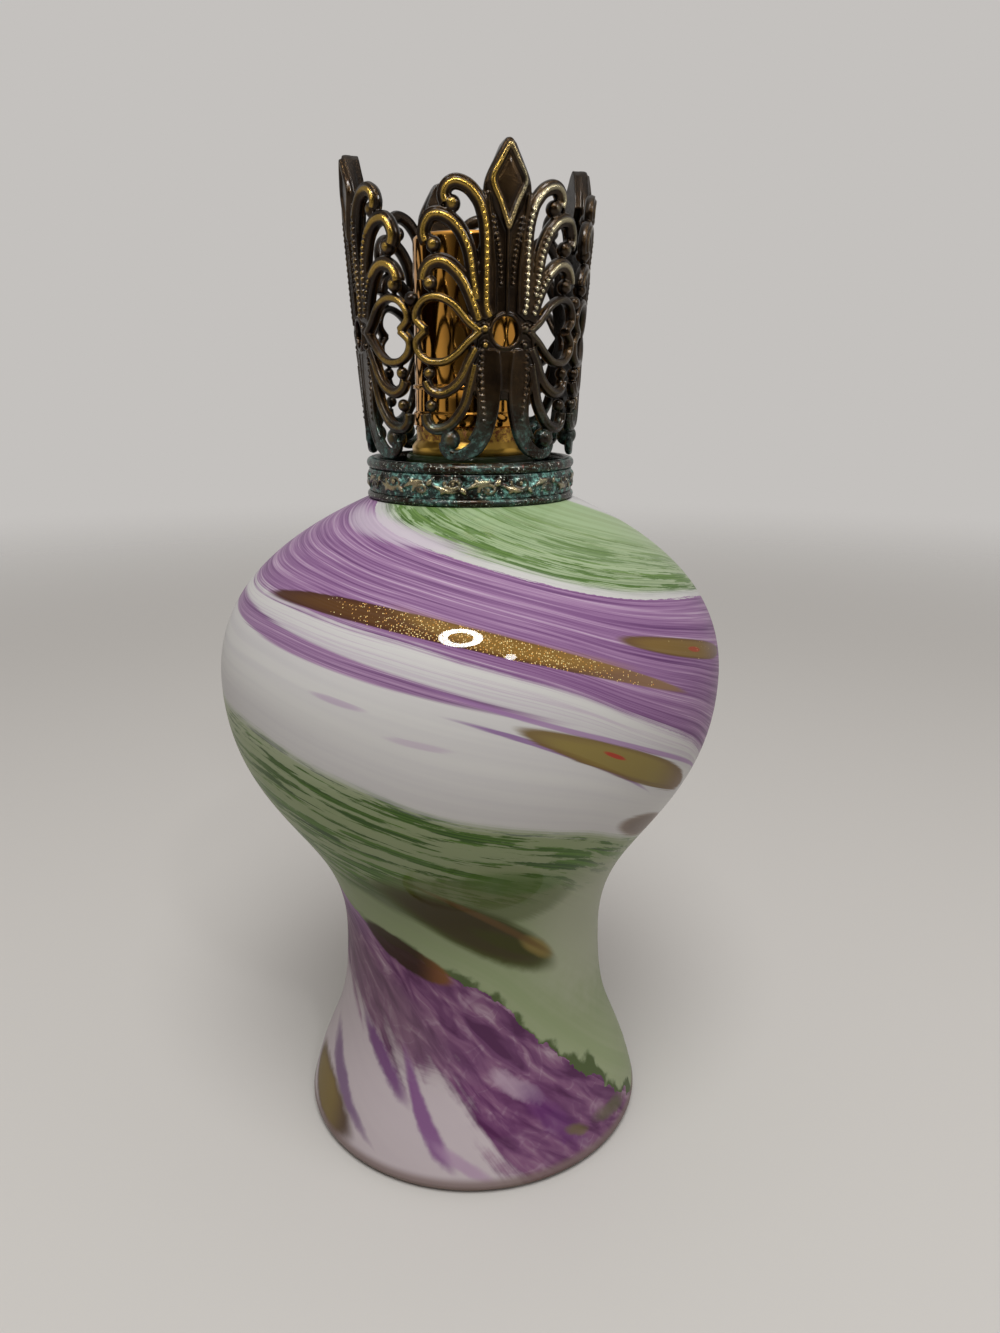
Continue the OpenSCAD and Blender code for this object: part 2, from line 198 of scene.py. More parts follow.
def alongPath(places, spacing):  # even places on a smooth curve through the given ones
    last = len(places) - 1
    fine = []
    for i in range(last):
        a, b = places[max(i - 1, 0)], places[i]
        c, d = places[i + 1], places[min(i + 2, last)]
        for k in range(16):
            t = k / 16
            fine.append(0.5 * (2 * b + (c - a) * t + (2 * a - 5 * b + 4 * c - d) * t ** 2
                               + (3 * b - a - 3 * c + d) * t ** 3))
    fine.append(places[last])
    even = [fine[0]]
    walked = 0
    for a, b in zip(fine, fine[1:]):
        walked += (b - a).xy.length
        if walked >= spacing:
            even.append(b)
            walked = 0
    if (even[-1] - fine[-1]).xy.length > spacing / 2:
        even.append(fine[-1])
    return even


def tubes(strokes, resolution=3):  # round wires along lists of (place, radius), as one mesh
    curve = bpy.data.curves.new("wires", "CURVE")
    curve.dimensions = "3D"
    curve.bevel_depth = 1
    curve.bevel_resolution = resolution
    curve.use_fill_caps = True
    for stroke in strokes:
        spline = curve.splines.new("POLY")
        spline.points.add(len(stroke) - 1)
        for point, (place, radius) in zip(spline.points, stroke):
            point.co = (*place, 1)
            point.radius = radius
    holder = bpy.data.objects.new("wires", curve)
    mesh = bpy.data.meshes.new_from_object(holder)
    bpy.data.objects.remove(holder)
    bpy.data.curves.remove(curve)
    return mesh


def remeshed(bm, voxel, smoothing, kept):  # every overlapping shell joined to one casting
    mesh = bpy.data.meshes.new("casting")
    bm.to_mesh(mesh)
    bm.free()
    holder = bpy.data.objects.new("casting", mesh)
    bpy.context.collection.objects.link(holder)
    join = holder.modifiers.new("join", "REMESH")
    join.mode = "VOXEL"
    join.voxel_size = voxel
    soften = holder.modifiers.new("soften", "SMOOTH")
    soften.factor = 0.5
    soften.iterations = smoothing
    thin = holder.modifiers.new("thin", "DECIMATE")
    thin.ratio = kept
    solid = bpy.data.meshes.new_from_object(holder.evaluated_get(bpy.context.evaluated_depsgraph_get()))
    bpy.data.objects.remove(holder)
    joined = bmesh.new()
    joined.from_mesh(solid)
    bpy.data.meshes.remove(solid)
    return joined


# Bottle: its outline, the ribbon that its colours follow, and the glass

bottle = {
    "foot": (34.9, 2.0),
    "waist": (26.3, 40.0),
    "bulb": (47.5, 95.5),
    "seat": (19.1, 127.6),
    "punt": (24.0, 2.2),
    "wall": 4.0,
    "floor": 9.0,
    "neckHeight": 7.9,
    "neckRadius": 11.8,
    "neckFillet": 3.4,
    "bore": 8.2,
    "lip": 0.8,
    "steps": 256,
}


def curvePart(start, startHandle, endHandle, end, count):
    points = interpolate_bezier(*[Vector((*p, 0)) for p in (start, startHandle, endHandle, end)], count)
    return [p.xy for p in points]


def arcPart(centre, radius, fromAngle, toAngle, count):
    angles = [math.radians(fromAngle + (toAngle - fromAngle) * i / count) for i in range(count + 1)]
    return [Vector((centre[0] + radius * math.cos(a), centre[1] + radius * math.sin(a))) for a in angles]


def bottleOutline():
    footR, footEdge = bottle["foot"]
    waistR, waistZ = bottle["waist"]
    bulbR, bulbZ = bottle["bulb"]
    seatR, seatZ = bottle["seat"]
    puntR, puntH = bottle["punt"]
    neckTop = seatZ + bottle["neckHeight"]
    neckR, fillet, lip = bottle["neckRadius"], bottle["neckFillet"], bottle["lip"]
    outside = curvePart((footR, footEdge), (footR - 3.6, footEdge + 16), (waistR, waistZ - 22.7),
                        (waistR, waistZ), 60)
    outside += curvePart((waistR, waistZ), (waistR, waistZ + 25), (bulbR, bulbZ - 26.2),
                         (bulbR, bulbZ), 84)[1:]
    outside += curvePart((bulbR, bulbZ), (bulbR, bulbZ + 12.8), (seatR + 20.3, seatZ - 9),
                         (seatR + 0.3, seatZ - 0.2), 90)[1:]
    inside = []
    for before, here, after in zip(outside[::6], outside[6::6], outside[12::6]):
        along = (after - before).normalized()
        place = here + bottle["wall"] * Vector((-along.y, along.x))
        if place.y > bottle["floor"] + 0.3:
            inside.append(place)
    under = curvePart((puntR * 0.25, puntH), (puntR * 0.6, puntH), (puntR * 0.85, puntH * 0.5), (puntR, 0), 10)
    outline = [(0, puntH)] + under
    outline += arcPart((footR - footEdge, footEdge), footEdge, -90, -4, 8) + outside
    outline += [(seatR, seatZ)] + arcPart((neckR + fillet, seatZ + fillet), fillet, 270, 180, 8)
    outline += arcPart((neckR - lip, neckTop - lip), lip, 0, 90, 5)
    outline += [(bottle["bore"], neckTop), (bottle["bore"], inside[-1].y + 1.5)] + inside[::-1]
    outline += [(inside[0].x - 0.6, bottle["floor"]), (0, bottle["floor"])]
    return outline


# The colours run in one ribbon that winds down round the bottle. Each line here is an edge in
# it: its height at angles that count on from the front through every turn to the right.
ribbon = {
    "purpleTop": [(-540, 205), (-360, 172), (-180, 148), (-90, 131), (-60, 127.5), (-40, 125.3),
                  (0, 120.5), (37, 114.7), (70, 111.3), (90, 108.5), (135, 100), (180, 89),
                  (225, 75), (270, 60.5), (303, 50.6), (350, 41.5), (370, 35.6), (387, 26.5),
                  (413, 13), (425, 6.5), (450, -6), (540, -45), (720, -130)],
    "purpleFoot": [(-540, 190), (-360, 158), (-180, 124), (-120, 115.5), (-80, 113.8), (-45, 113),
                   (-28, 111.6), (-12, 109.7), (10, 105.2), (21, 101.9), (32, 97.4), (43, 93),
                   (54, 88.6), (66, 83), (90, 74), (135, 64), (180, 54), (225, 44), (270, 35),
                   (300, 30), (315, 25.6), (334, 22.2), (349, 20.8), (355, 18.2), (363, 12.6), (368, 8),
                   (373, 3.5), (390, -9), (450, -34), (720, -140)],
    "greenTop": [(-540, 175), (-360, 140), (-180, 108), (-90, 96), (-68, 94), (-51, 93),
                 (-40, 91), (-26, 87.8), (-10, 83.6), (4, 80.8), (17, 78.6), (27, 76.6), (40, 72.4),
                 (60, 67), (90, 59), (135, 45), (180, 32), (225, 19),
                 (270, 5), (300, -4), (360, -30), (540, -75), (720, -160)],
    "purpleShare": 0.2,
    "whiteShare": 0.3,
}


def lineHeight(name, angle):
    points = ribbon[name]
    last = len(points) - 1
    i = 0
    while i < last - 1 and points[i + 1][0] <= angle:
        i += 1
    (a0, z0), (a1, z1) = points[max(i - 1, 0)], points[i]
    (a2, z2), (a3, z3) = points[i + 1], points[min(i + 2, last)]
    t = (angle - a1) / (a2 - a1)
    startSlope = (z2 - z0) / (a2 - a0) * (a2 - a1)
    endSlope = (z3 - z1) / (a3 - a1) * (a2 - a1)
    return ((2 * t ** 3 - 3 * t ** 2 + 1) * z1 + (t ** 3 - 2 * t ** 2 + t) * startSlope
            + (3 * t ** 2 - 2 * t ** 3) * z2 + (t ** 3 - t ** 2) * endSlope)


ribbonMarks = {}


def marksAt(angle):  # heights at which the share of the ribbon changes, down one meridian
    key = round(angle, 4)
    if key not in ribbonMarks:
        marks = []
        white = ribbon["purpleShare"]
        green = white + ribbon["whiteShare"]
        for turn in (-1, 0, 1):
            there = angle + 360 * turn
            marks.append((lineHeight("purpleTop", there), turn))
            marks.append((lineHeight("purpleFoot", there), turn + white))
            marks.append((lineHeight("greenTop", there), turn + green))
        ribbonMarks[key] = marks
    return ribbonMarks[key]


def ribbonShare(angle, height):  # whole turns down the ribbon, plus the share across it
    marks = marksAt(angle)
    i = 0
    while i < len(marks) - 2 and marks[i + 1][0] >= height:
        i += 1
    (high, first), (low, second) = marks[i], marks[i + 1]
    return first + (high - height) / (high - low) * (second - first)


def makeBottle(material):
    bm = turned(bottleOutline(), bottle["steps"])
    flow = bm.loops.layers.uv.new("ribbon")
    for face in bm.faces:
        middle = face.calc_center_median()
        towards = math.degrees(math.atan2(middle.x, -middle.y))
        for loop in face.loops:
            x, y, z = loop.vert.co
            angle = math.degrees(math.atan2(x, -y)) if math.hypot(x, y) > 0.01 else towards
            angle += 360 * round((towards - angle) / 360)
            loop[flow].uv = (math.radians(angle), ribbonShare(angle, z))
    return finishPiece(bm, "blown_bottle", "bottle", material, ["glass_bottle"])


# Glass colours. A dab is one pulled drop of coloured glass: where its middle is (degrees from the
# front, height), its slope and bend (millimetres to a degree), how far it reaches each way
# (degrees, millimetres), how much thicker it is to its left, how ragged and how soft its edge is,
# its colour and that of its rim and of its right end. "streaks" takes the ribbon's purple.
plainDab = {"bend": 0, "lean": 0, "ragged": 0.5, "soft": 0.2, "share": 0.95, "glitter": 0}
dabs = [
    # Between the green and the purple under the crown, and the second purple strand
    {"middle": (-36, 124.4), "slope": -0.06, "reach": (34, 1.2), "colour": tone(190, 178, 190),
     "soft": 0.7, "share": 0.75, "ragged": 2.2},
    {"middle": (-45, 108.5), "slope": -0.098, "bend": -0.00114, "reach": (58, 1.35), "colour": "streaks",
     "soft": 0.35, "ragged": 0.9},
    {"middle": (32, 92.4), "slope": -0.33, "bend": -0.0011, "reach": (38, 0.5),
     "colour": tone(146, 110, 154), "soft": 0.5, "share": 0.8},
    {"middle": (18, 92.9), "slope": -0.387, "bend": -0.004, "reach": (20.5, 0.5),
     "colour": tone(124, 84, 138), "soft": 0.5, "share": 0.85},
    {"middle": (-26.5, 100.7), "slope": -0.13, "reach": (5.8, 0.5), "colour": tone(170, 150, 172),
     "soft": 0.7, "share": 0.7, "ragged": 1.2},
    {"middle": (-10, 95.2), "slope": -0.14, "reach": (6, 0.55), "colour": tone(176, 158, 176),
     "soft": 0.7, "share": 0.6, "ragged": 1.2},
    # Gold with copper flecks
    {"middle": (33.5, 88.7), "slope": -0.375, "bend": -0.0008, "reach": (25, 2.8), "lean": -0.25,
     "colour": tone(126, 108, 44), "rim": tone(106, 84, 40), "tail": tone(102, 72, 34), "soft": 0.16,
     "glitter": 0.05},
    {"middle": (28.7, 91.2), "slope": -0.4, "reach": (2.6, 0.4), "colour": tone(156, 52, 40), "soft": 0.5},
    {"middle": (53, 105), "slope": -0.2, "reach": (20.5, 1.7), "lean": -0.15,
     "colour": tone(118, 94, 42), "rim": tone(98, 74, 40), "tail": tone(122, 102, 92), "soft": 0.2,
     "glitter": 0.12},
    {"middle": (55.6, 104.5), "slope": -0.2, "reach": (2.6, 0.45), "colour": tone(150, 66, 44), "soft": 0.5},
    {"middle": (-4.5, 111.4), "slope": -0.144, "bend": -0.00184, "reach": (52.5, 1.5),
     "colour": tone(84, 54, 2), "rim": tone(66, 36, 6), "tail": tone(134, 104, 76), "soft": 0.13,
     "ragged": 0.3, "glitter": 1},
    {"middle": (8, 109.5), "slope": -0.19, "reach": (22, 1.3), "colour": tone(152, 118, 56), "soft": 0.9,
     "share": 0.6},
    # Mauve, olive and brown drops down to the waist
    {"middle": (60, 47), "slope": -0.1, "reach": (36, 17), "colour": tone(172, 172, 154), "soft": 0.95,
     "share": 0.6},
    {"middle": (49, 72.4), "slope": -0.27, "reach": (13, 2.7), "colour": tone(106, 88, 76),
     "rim": tone(124, 106, 92), "tail": tone(146, 126, 116), "soft": 0.35, "share": 0.9},
    {"middle": (2, 60.5), "slope": -0.05, "reach": (31, 6.5), "colour": tone(94, 102, 66), "soft": 0.35,
     "share": 0.7},
    {"middle": (12, 65), "slope": -0.12, "reach": (15, 3.2), "colour": tone(76, 104, 48), "soft": 0.6,
     "share": 0.6, "ragged": 0.8},
    {"middle": (-16, 57.3), "slope": -0.12, "reach": (27, 4.0), "colour": tone(70, 78, 50), "soft": 0.75,
     "share": 0.7},
    {"middle": (1, 52.5), "slope": -0.29, "bend": -0.0006, "reach": (33.5, 5.7), "lean": 0.05,
     "colour": tone(54, 44, 14), "rim": tone(64, 68, 24), "soft": 0.34, "share": 0.95, "ragged": 0.25},
    {"middle": (15, 48.4), "slope": -0.27, "reach": (15, 1.7), "colour": tone(58, 60, 16),
     "soft": 0.8, "share": 0.8},
    {"middle": (26.5, 46.4), "slope": -0.34, "reach": (7.5, 1.9), "colour": tone(132, 114, 62),
     "soft": 0.8, "share": 0.85},
    {"middle": (8, 54.1), "slope": -0.4, "reach": (22, 0.9), "colour": tone(92, 68, 34),
     "soft": 0.95, "share": 0.8},
    {"middle": (-50, 34), "slope": -0.25, "reach": (36, 8), "colour": tone(114, 92, 102), "soft": 0.9,
     "share": 0.5},
    {"middle": (-29, 44.6), "slope": -0.2, "reach": (20, 3.1), "colour": tone(46, 24, 4),
     "rim": tone(46, 26, 8), "tail": tone(116, 74, 36), "soft": 0.25},
    # Low down, in and below the purple
    {"middle": (-39, 21.2), "slope": -0.42, "reach": (13, 2.2), "colour": tone(100, 52, 106), "soft": 0.7,
     "share": 0.9, "ragged": 1.2},
    {"middle": (-18, 13.2), "slope": -0.85, "bend": 0.012, "reach": (10.5, 3.0), "colour": tone(112, 60, 118),
     "soft": 0.6, "share": 0.85, "ragged": 0.9},
    {"middle": (-4, 6), "slope": -0.3, "reach": (9, 1.3), "colour": tone(158, 128, 156), "soft": 0.8,
     "share": 0.7, "ragged": 1.2},
    {"middle": (16, 18.6), "slope": -0.3, "reach": (9, 1.9), "colour": tone(168, 146, 162), "soft": 0.8,
     "share": 0.75, "ragged": 1.8},
    {"middle": (29, 11), "slope": -0.55, "reach": (11, 3.4), "colour": tone(92, 44, 100), "soft": 0.9,
     "share": 0.6, "ragged": 1.5},
    {"middle": (-57, 12.5), "slope": -0.34, "reach": (18, 2.1), "lean": 0.4, "colour": tone(104, 72, 112),
     "soft": 0.8, "share": 0.85, "ragged": 1.2},
    {"middle": (-66, 7.4), "slope": -0.12, "reach": (20, 4.6), "colour": tone(112, 92, 26),
     "rim": tone(88, 66, 24), "tail": tone(66, 42, 14), "soft": 0.4, "share": 0.92},
    {"middle": (37, 7.6), "slope": -0.2, "reach": (4.5, 1.1), "colour": tone(104, 96, 52), "soft": 0.9,
     "ragged": 1.5, "share": 0.7},
    {"middle": (55, 6.4), "slope": -0.1, "reach": (9, 1.5), "colour": tone(96, 96, 66), "soft": 0.9,
     "ragged": 1.5, "share": 0.7},
    # Round the back
    {"middle": (150, 98), "slope": -0.2, "reach": (32, 2.2), "lean": 0.2, "colour": tone(126, 100, 48),
     "rim": tone(98, 68, 36), "tail": tone(156, 126, 106), "soft": 0.14, "glitter": 0.8},
    {"middle": (-150, 77), "slope": -0.24, "reach": (28, 2.4), "lean": -0.1, "colour": tone(130, 106, 52),
     "rim": tone(104, 76, 42), "tail": tone(150, 124, 106), "soft": 0.14, "glitter": 0.4},
    {"middle": (178, 46), "slope": -0.25, "bend": -0.001, "reach": (30, 1.3), "colour": "streaks",
     "soft": 0.35, "ragged": 0.9},
    {"middle": (-118, 60), "slope": -0.27, "reach": (24, 3.4), "colour": tone(104, 96, 56),
     "rim": tone(110, 78, 50), "soft": 0.2, "share": 0.9},
    {"middle": (128, 38), "slope": -0.3, "reach": (20, 3.0), "lean": 0.2, "colour": tone(92, 66, 42),
     "rim": tone(70, 56, 40), "tail": tone(128, 92, 62), "soft": 0.2, "share": 0.9},
]
glass = {
    "white": (198, 196, 193),
    "streaksPerTurn": 95,
}


def paintDab(tree, dab, colour, angle, z, wobble, purple):
    settings = {**plainDab, **dab}
    reach, height = settings["reach"]
    away = calc(tree, "WRAP", calc(tree, "SUBTRACT", angle, math.radians(settings["middle"][0])),
                math.pi, -math.pi)
    line = calc(tree, "MULTIPLY_ADD", away, math.degrees(settings["slope"]), settings["middle"][1])
    if settings["bend"]:
        line = calc(tree, "MULTIPLY_ADD", calc(tree, "MULTIPLY", away, away),
                    settings["bend"] * math.degrees(1) ** 2, line)
    alongDab = calc(tree, "DIVIDE", away, math.radians(reach))
    thick = calc(tree, "MULTIPLY_ADD", alongDab, -settings["lean"] * height, height)
    acrossDab = calc(tree, "DIVIDE", calc(tree, "SUBTRACT", z, line), thick)
    acrossDab = calc(tree, "MULTIPLY_ADD", wobble, settings["ragged"], acrossDab)
    far = calc(tree, "MULTIPLY_ADD", alongDab, alongDab, calc(tree, "MULTIPLY", acrossDab, acrossDab))
    cover = calc(tree, "MULTIPLY", settings["share"],
                 calc(tree, "SUBTRACT", 1.0, fade(tree, far, 1 - settings["soft"], 1 + settings["soft"])))
    paint = purple if settings["colour"] == "streaks" else settings["colour"]
    if "rim" in settings:
        paint = mixColour(tree, fade(tree, far, 0.35, 0.95), paint, settings["rim"])
    if "tail" in settings:
        paint = mixColour(tree, fade(tree, alongDab, 0.2, 0.95), paint, settings["tail"])
    glitter = 0.0
    if settings["glitter"]:
        spread = calc(tree, "MULTIPLY", fade(tree, alongDab, -0.75, 0.0), fade(tree, alongDab, 1.1, 0.2))
        glitter = calc(tree, "MULTIPLY", calc(tree, "MULTIPLY", cover, spread), settings["glitter"])
    return mixColour(tree, cover, colour, paint), glitter


def glassMaterial():
    material, tree, shader = newMaterial("swirled glass", Roughness=0.3, Specular_IOR_Level=0.0,
                                         Coat_Weight=0.35, Coat_Roughness=0.02, Coat_IOR=1.5)
    here, x, y, z = objectPlace(tree)
    low = calc(tree, "SUBTRACT", 1.0, fade(tree, z, 40.0, 56.0))
    flow = addNode(tree, "UVMap", {}, uv_map="ribbon").outputs[0]
    flowParts = addNode(tree, "SeparateXYZ", {0: flow}).outputs
    angle = flowParts["X"]

    # The ribbon's edges wander: in long waves high up, and in clots near the foot
    evenTurn = calc(tree, "FLOOR", flowParts["Y"])
    unrolled = calc(tree, "MULTIPLY_ADD", evenTurn, math.tau, angle)
    threads = noise(tree, vector(tree, calc(tree, "MULTIPLY", unrolled, 2.2), flowParts["Y"]), 1.0, 3, 0.6)
    moss = noise(tree, here, 0.3, 3, 0.55)
    wander = mixValue(tree, low, calc(tree, "MULTIPLY", calc(tree, "SUBTRACT", threads, 0.5), 0.025),
                      calc(tree, "MULTIPLY", calc(tree, "SUBTRACT", moss, 0.5), 0.05))
    across = calc(tree, "MULTIPLY", calc(tree, "SUBTRACT", flowParts["Y"], evenTurn), glass["streaksPerTurn"])
    share = calc(tree, "FRACT", calc(tree, "ADD", flowParts["Y"], wander))

    def streaks(stretch, scale, seed, detail=4, roughness=0.6):
        place = vector(tree, calc(tree, "MULTIPLY", unrolled, stretch), across, seed)
        return noise(tree, place, scale, detail, roughness)

    broad = streaks(1.2, 0.32, 3.0, 2)
    combed = streaks(0.45, 1.9, 7.0, 4, 0.66)
    hair = streaks(0.3, 3.6, 11.0, 3)
    strokes = streaks(4.6, 0.62, 1.0, 5, 0.64)
    # Low down the colour runs more steeply, in wisps that end in fingers at the foot
    steep = calc(tree, "MULTIPLY_ADD", unrolled, 42.0, z)
    fingers = noise(tree, vector(tree, calc(tree, "MULTIPLY", steep, 0.16), calc(tree, "MULTIPLY", z, 0.05), 2.0),
                    1.0, 2, 0.5, 0.3)
    running = calc(tree, "MULTIPLY_ADD", unrolled, 25.0, z)
    wisps = noise(tree, vector(tree, calc(tree, "MULTIPLY", unrolled, 4.6), calc(tree, "MULTIPLY", running, 0.3), 5.0),
                  1.0, 3, 0.45, 0.7)
    curls = noise(tree, here, 0.13, 2, 0.4, 1.0)
    curls = calc(tree, "ABSOLUTE", calc(tree, "SUBTRACT", curls, 0.5))
    curls = calc(tree, "SUBTRACT", 1.0, fade(tree, curls, 0.003, 0.04))

    # Zones across the ribbon
    whiteStart = ribbon["purpleShare"]
    greenStart = whiteStart + ribbon["whiteShare"]
    finer = calc(tree, "MULTIPLY", calc(tree, "SUBTRACT", combed, 0.5), 0.04)
    tornFoot = calc(tree, "MULTIPLY", calc(tree, "MULTIPLY", calc(tree, "SUBTRACT", fingers, 0.5), 0.2), low)
    place = calc(tree, "ADD", share, finer)
    purpleEdge = calc(tree, "ADD", place, tornFoot)
    blur = calc(tree, "MULTIPLY_ADD", low, 0.018, 0.01)
    purpleZone = fade(tree, purpleEdge, calc(tree, "ADD", blur, whiteStart), calc(tree, "SUBTRACT", whiteStart, blur))
    greenZone = fade(tree, place, greenStart - 0.008, greenStart + 0.02)

    lines = calc(tree, "ADD", calc(tree, "MULTIPLY", combed, 0.45), calc(tree, "MULTIPLY", hair, 0.4))
    lines = calc(tree, "MULTIPLY_ADD", broad, 0.15, lines)
    combedPurple = ramp(tree, lines, [(0.38, tone(96, 60, 102)), (0.47, tone(126, 89, 130)),
                                      (0.55, tone(150, 116, 151)), (0.66, tone(190, 168, 188))])
    softPurple = ramp(tree, wisps, [(0.3, tone(80, 42, 76)), (0.46, tone(104, 64, 99)),
                                    (0.58, tone(123, 84, 114)), (0.66, tone(138, 106, 128)),
                                    (0.78, tone(166, 144, 156))])
    softPurple = mixColour(tree, calc(tree, "MULTIPLY", curls, fade(tree, wisps, 0.42, 0.8)), softPurple, tone(150, 122, 142))
    purple = mixColour(tree, low, combedPurple, softPurple)

    # White, with lilac threads beside the purple
    thread = calc(tree, "MULTIPLY", fade(tree, lines, 0.52, 0.44),
                  calc(tree, "SUBTRACT", 1.0, fade(tree, share, whiteStart, whiteStart + 0.09)))
    white = mixColour(tree, fade(tree, broad, 0.3, 0.7), tone(190, 187, 187), tone(*glass["white"]))
    thread = calc(tree, "MULTIPLY", thread, calc(tree, "MULTIPLY_ADD", low, -0.4, 0.45))
    white = mixColour(tree, thread, white, tone(158, 126, 162))
    white = mixColour(tree, calc(tree, "MULTIPLY", low, 0.7), white, tone(176, 160, 166))

    # Green: brush strokes on a pale wash high up, and plain sage at the waist; the sage is darkest about 60 mm up,
    # which is painted shade below the bulb
    sageWashAndShade = ramp(tree, calc(tree, "MULTIPLY", z, 1 / 130),
                [(0.0, tone(148, 156, 124)), (0.33, tone(141, 151, 116)), (0.46, tone(118, 129, 93)),
                 (0.62, tone(138, 148, 112)), (0.8, tone(166, 172, 148)), (0.98, tone(150, 172, 130))])
    sageWashAndShade = mixColour(tree, calc(tree, "MULTIPLY", fade(tree, broad, 0.4, 0.65), 0.4), sageWashAndShade, tone(132, 146, 104))
    upper = fade(tree, z, 104.0, 110.0)
    stroke = fade(tree, strokes, 0.485, 0.54)
    fine = fade(tree, lines, 0.52, 0.44)
    painted = mixValue(tree, upper, stroke, calc(tree, "MAXIMUM", calc(tree, "MULTIPLY", fine, 0.55), stroke))
    facing = calc(tree, "MULTIPLY_ADD", fade(tree, calc(tree, "COSINE", angle), 0.1, 0.85), 0.65, 0.35)
    thick = mixValue(tree, upper, calc(tree, "MULTIPLY", facing, fade(tree, z, 56.5, 61.0)),
                     fade(tree, calc(tree, "ADD", share, calc(tree, "MULTIPLY", broad, 0.3)), 0.75, 1.08))
    painted = calc(tree, "MULTIPLY", painted, thick)
    inked = mixColour(tree, upper, mixColour(tree, fade(tree, combed, 0.4, 0.6), tone(30, 64, 0), tone(74, 110, 30)),
                      mixColour(tree, fade(tree, lines, 0.42, 0.58), tone(54, 86, 26), tone(100, 130, 66)))
    green = mixColour(tree, calc(tree, "MULTIPLY", painted, 0.92), sageWashAndShade, inked)
    clots = noise(tree, here, 0.16, 2, 0.5)
    fringe = calc(tree, "MULTIPLY_ADD", calc(tree, "SUBTRACT", clots, 0.5), 0.12, share)
    fringe = calc(tree, "MULTIPLY", fade(tree, fringe, 0.974, 0.992), low)
    green = mixColour(tree, calc(tree, "MULTIPLY", fringe, 0.85), green, tone(54, 70, 26))
    gap = calc(tree, "MULTIPLY_ADD", calc(tree, "SUBTRACT", lines, 0.5), 0.1, share)
    gap = calc(tree, "MULTIPLY", upper, fade(tree, gap, 0.95, 0.985))
    green = mixColour(tree, calc(tree, "MULTIPLY", gap, 0.8), green, tone(198, 194, 196))

    colour = mixColour(tree, purpleZone, white, purple)
    colour = mixColour(tree, greenZone, colour, green)
    out = addNode(tree, "VectorMath", {0: vector(tree, x, y)}, operation="LENGTH").outputs["Value"]
    # Dark green inside the band's ring: the neck's green glass, darkened almost to black as painted shade under the
    # band
    neckGreenAndShade = calc(tree, "MULTIPLY", fade(tree, out, 19.5, 17.5), fade(tree, z, 118.0, 124.0))
    colour = mixColour(tree, calc(tree, "MULTIPLY", neckGreenAndShade, 0.94), colour, tone(36, 46, 22))

    glints = 0.0
    wobble = mixValue(tree, low, calc(tree, "SUBTRACT", combed, 0.5), calc(tree, "SUBTRACT", moss, 0.5))
    for dab in dabs:
        colour, glitter = paintDab(tree, dab, colour, angle, z, wobble, purple)
        glints = calc(tree, "MAXIMUM", glints, glitter) if glitter else glints
    flakes = addNode(tree, "TexVoronoi", {"Vector": here, "Scale": 3.6}, feature="F1")
    pick = addNode(tree, "SeparateColor", {0: flakes.outputs["Color"]}).outputs
    spark = calc(tree, "MULTIPLY", fade(tree, calc(tree, "MULTIPLY_ADD", glints, 0.7, pick[0]), 1.02, 1.06),
                 calc(tree, "SUBTRACT", 1.0, fade(tree, flakes.outputs["Distance"], 0.26, 0.42)))
    glints = calc(tree, "MULTIPLY", fade(tree, glints, 0.02, 0.1), spark)
    copper = mixColour(tree, pick[1], tone(222, 150, 60), tone(255, 238, 170))
    colour = mixColour(tree, glints, colour, copper)

    # Bare glass at the edge of the foot
    rim = calc(tree, "SUBTRACT", 1.0, fade(tree, z, 2.2, 4.0))
    rimColour = mixColour(tree, fade(tree, z, 0.6, 2.2), tone(96, 72, 52), tone(120, 102, 98))
    colour = mixColour(tree, calc(tree, "MULTIPLY", rim, 0.85), colour, rimColour)
    tree.links.new(colour, shader.inputs["Base Color"])
    return material
# Crown: the panels' drawing. u runs along the arc from the middle of a panel and v up from the
# band; a third number is the width of the strip there. Places are given for the left side.
panel = {
    "drawLow": 1.1,
    "drawHigh": 50.4,
    "footRadius": 19.1,
    "topRadius": 22.5,
    "foot": 134.95,
    "thick": 1.9,
    "ground": 0.75,
    "voxel": 0.15,
    "kept": 0.5,
    "turn": 17,
    "count": 4,
    "scroll": 2.45,
    "heart": 1.4,
    "hook": 1.9,
    "hole": (0, 22.2, 2.35),
}
topScroll = [(-2.7, 24.4), (-3.4, 26), (-3.5, 31), (-3.6, 37), (-4.4, 40.5), (-5.4, 42.2),
             (-6.8, 43.5), (-8.7, 44.1), (-10.1, 43.5), (-10.6, 42.2), (-10.2, 41.2)]
midScroll = [(-5.0, 27), (-5.6, 30), (-6.3, 34), (-7.6, 36.9), (-9.3, 38.7), (-11, 39.5),
             (-12.7, 39.4), (-13.7, 38.2), (-14, 36.7), (-13.5, 35.6)]
lowScroll = [(-4.6, 23.8), (-5.6, 26.6), (-7, 29.5), (-8.4, 31.3), (-10, 32.5), (-11.6, 32.8),
             (-13.1, 32.2), (-13.9, 31), (-14.1, 29.9)]
heartTop = [(-4.4, 22.2), (-6.3, 23.6), (-8.5, 26), (-10.3, 27.1), (-12.2, 27.5), (-14, 27),
            (-15.25, 25.6), (-15.4, 24), (-13.6, 22.4)]
heartLow = [(-4.4, 22.2), (-6.3, 20.6), (-8, 18.9), (-9.8, 17.7), (-11.6, 17.4), (-13.4, 17.7),
            (-15, 19), (-15.35, 20.8), (-13.6, 22.4)]
upperHook = [(-5, 19.6), (-6.1, 17.6), (-7.2, 15.2), (-8.8, 13.4), (-11, 12.5), (-12.9, 13.2),
             (-13.7, 14.6)]
lowerHook = [(-5.2, 17), (-5.9, 14), (-6.6, 11.2), (-7.7, 9.2), (-9.1, 7.6), (-10.7, 6.8),
             (-12.4, 6.8), (-13.5, 7.8), (-13.8, 9.2)]
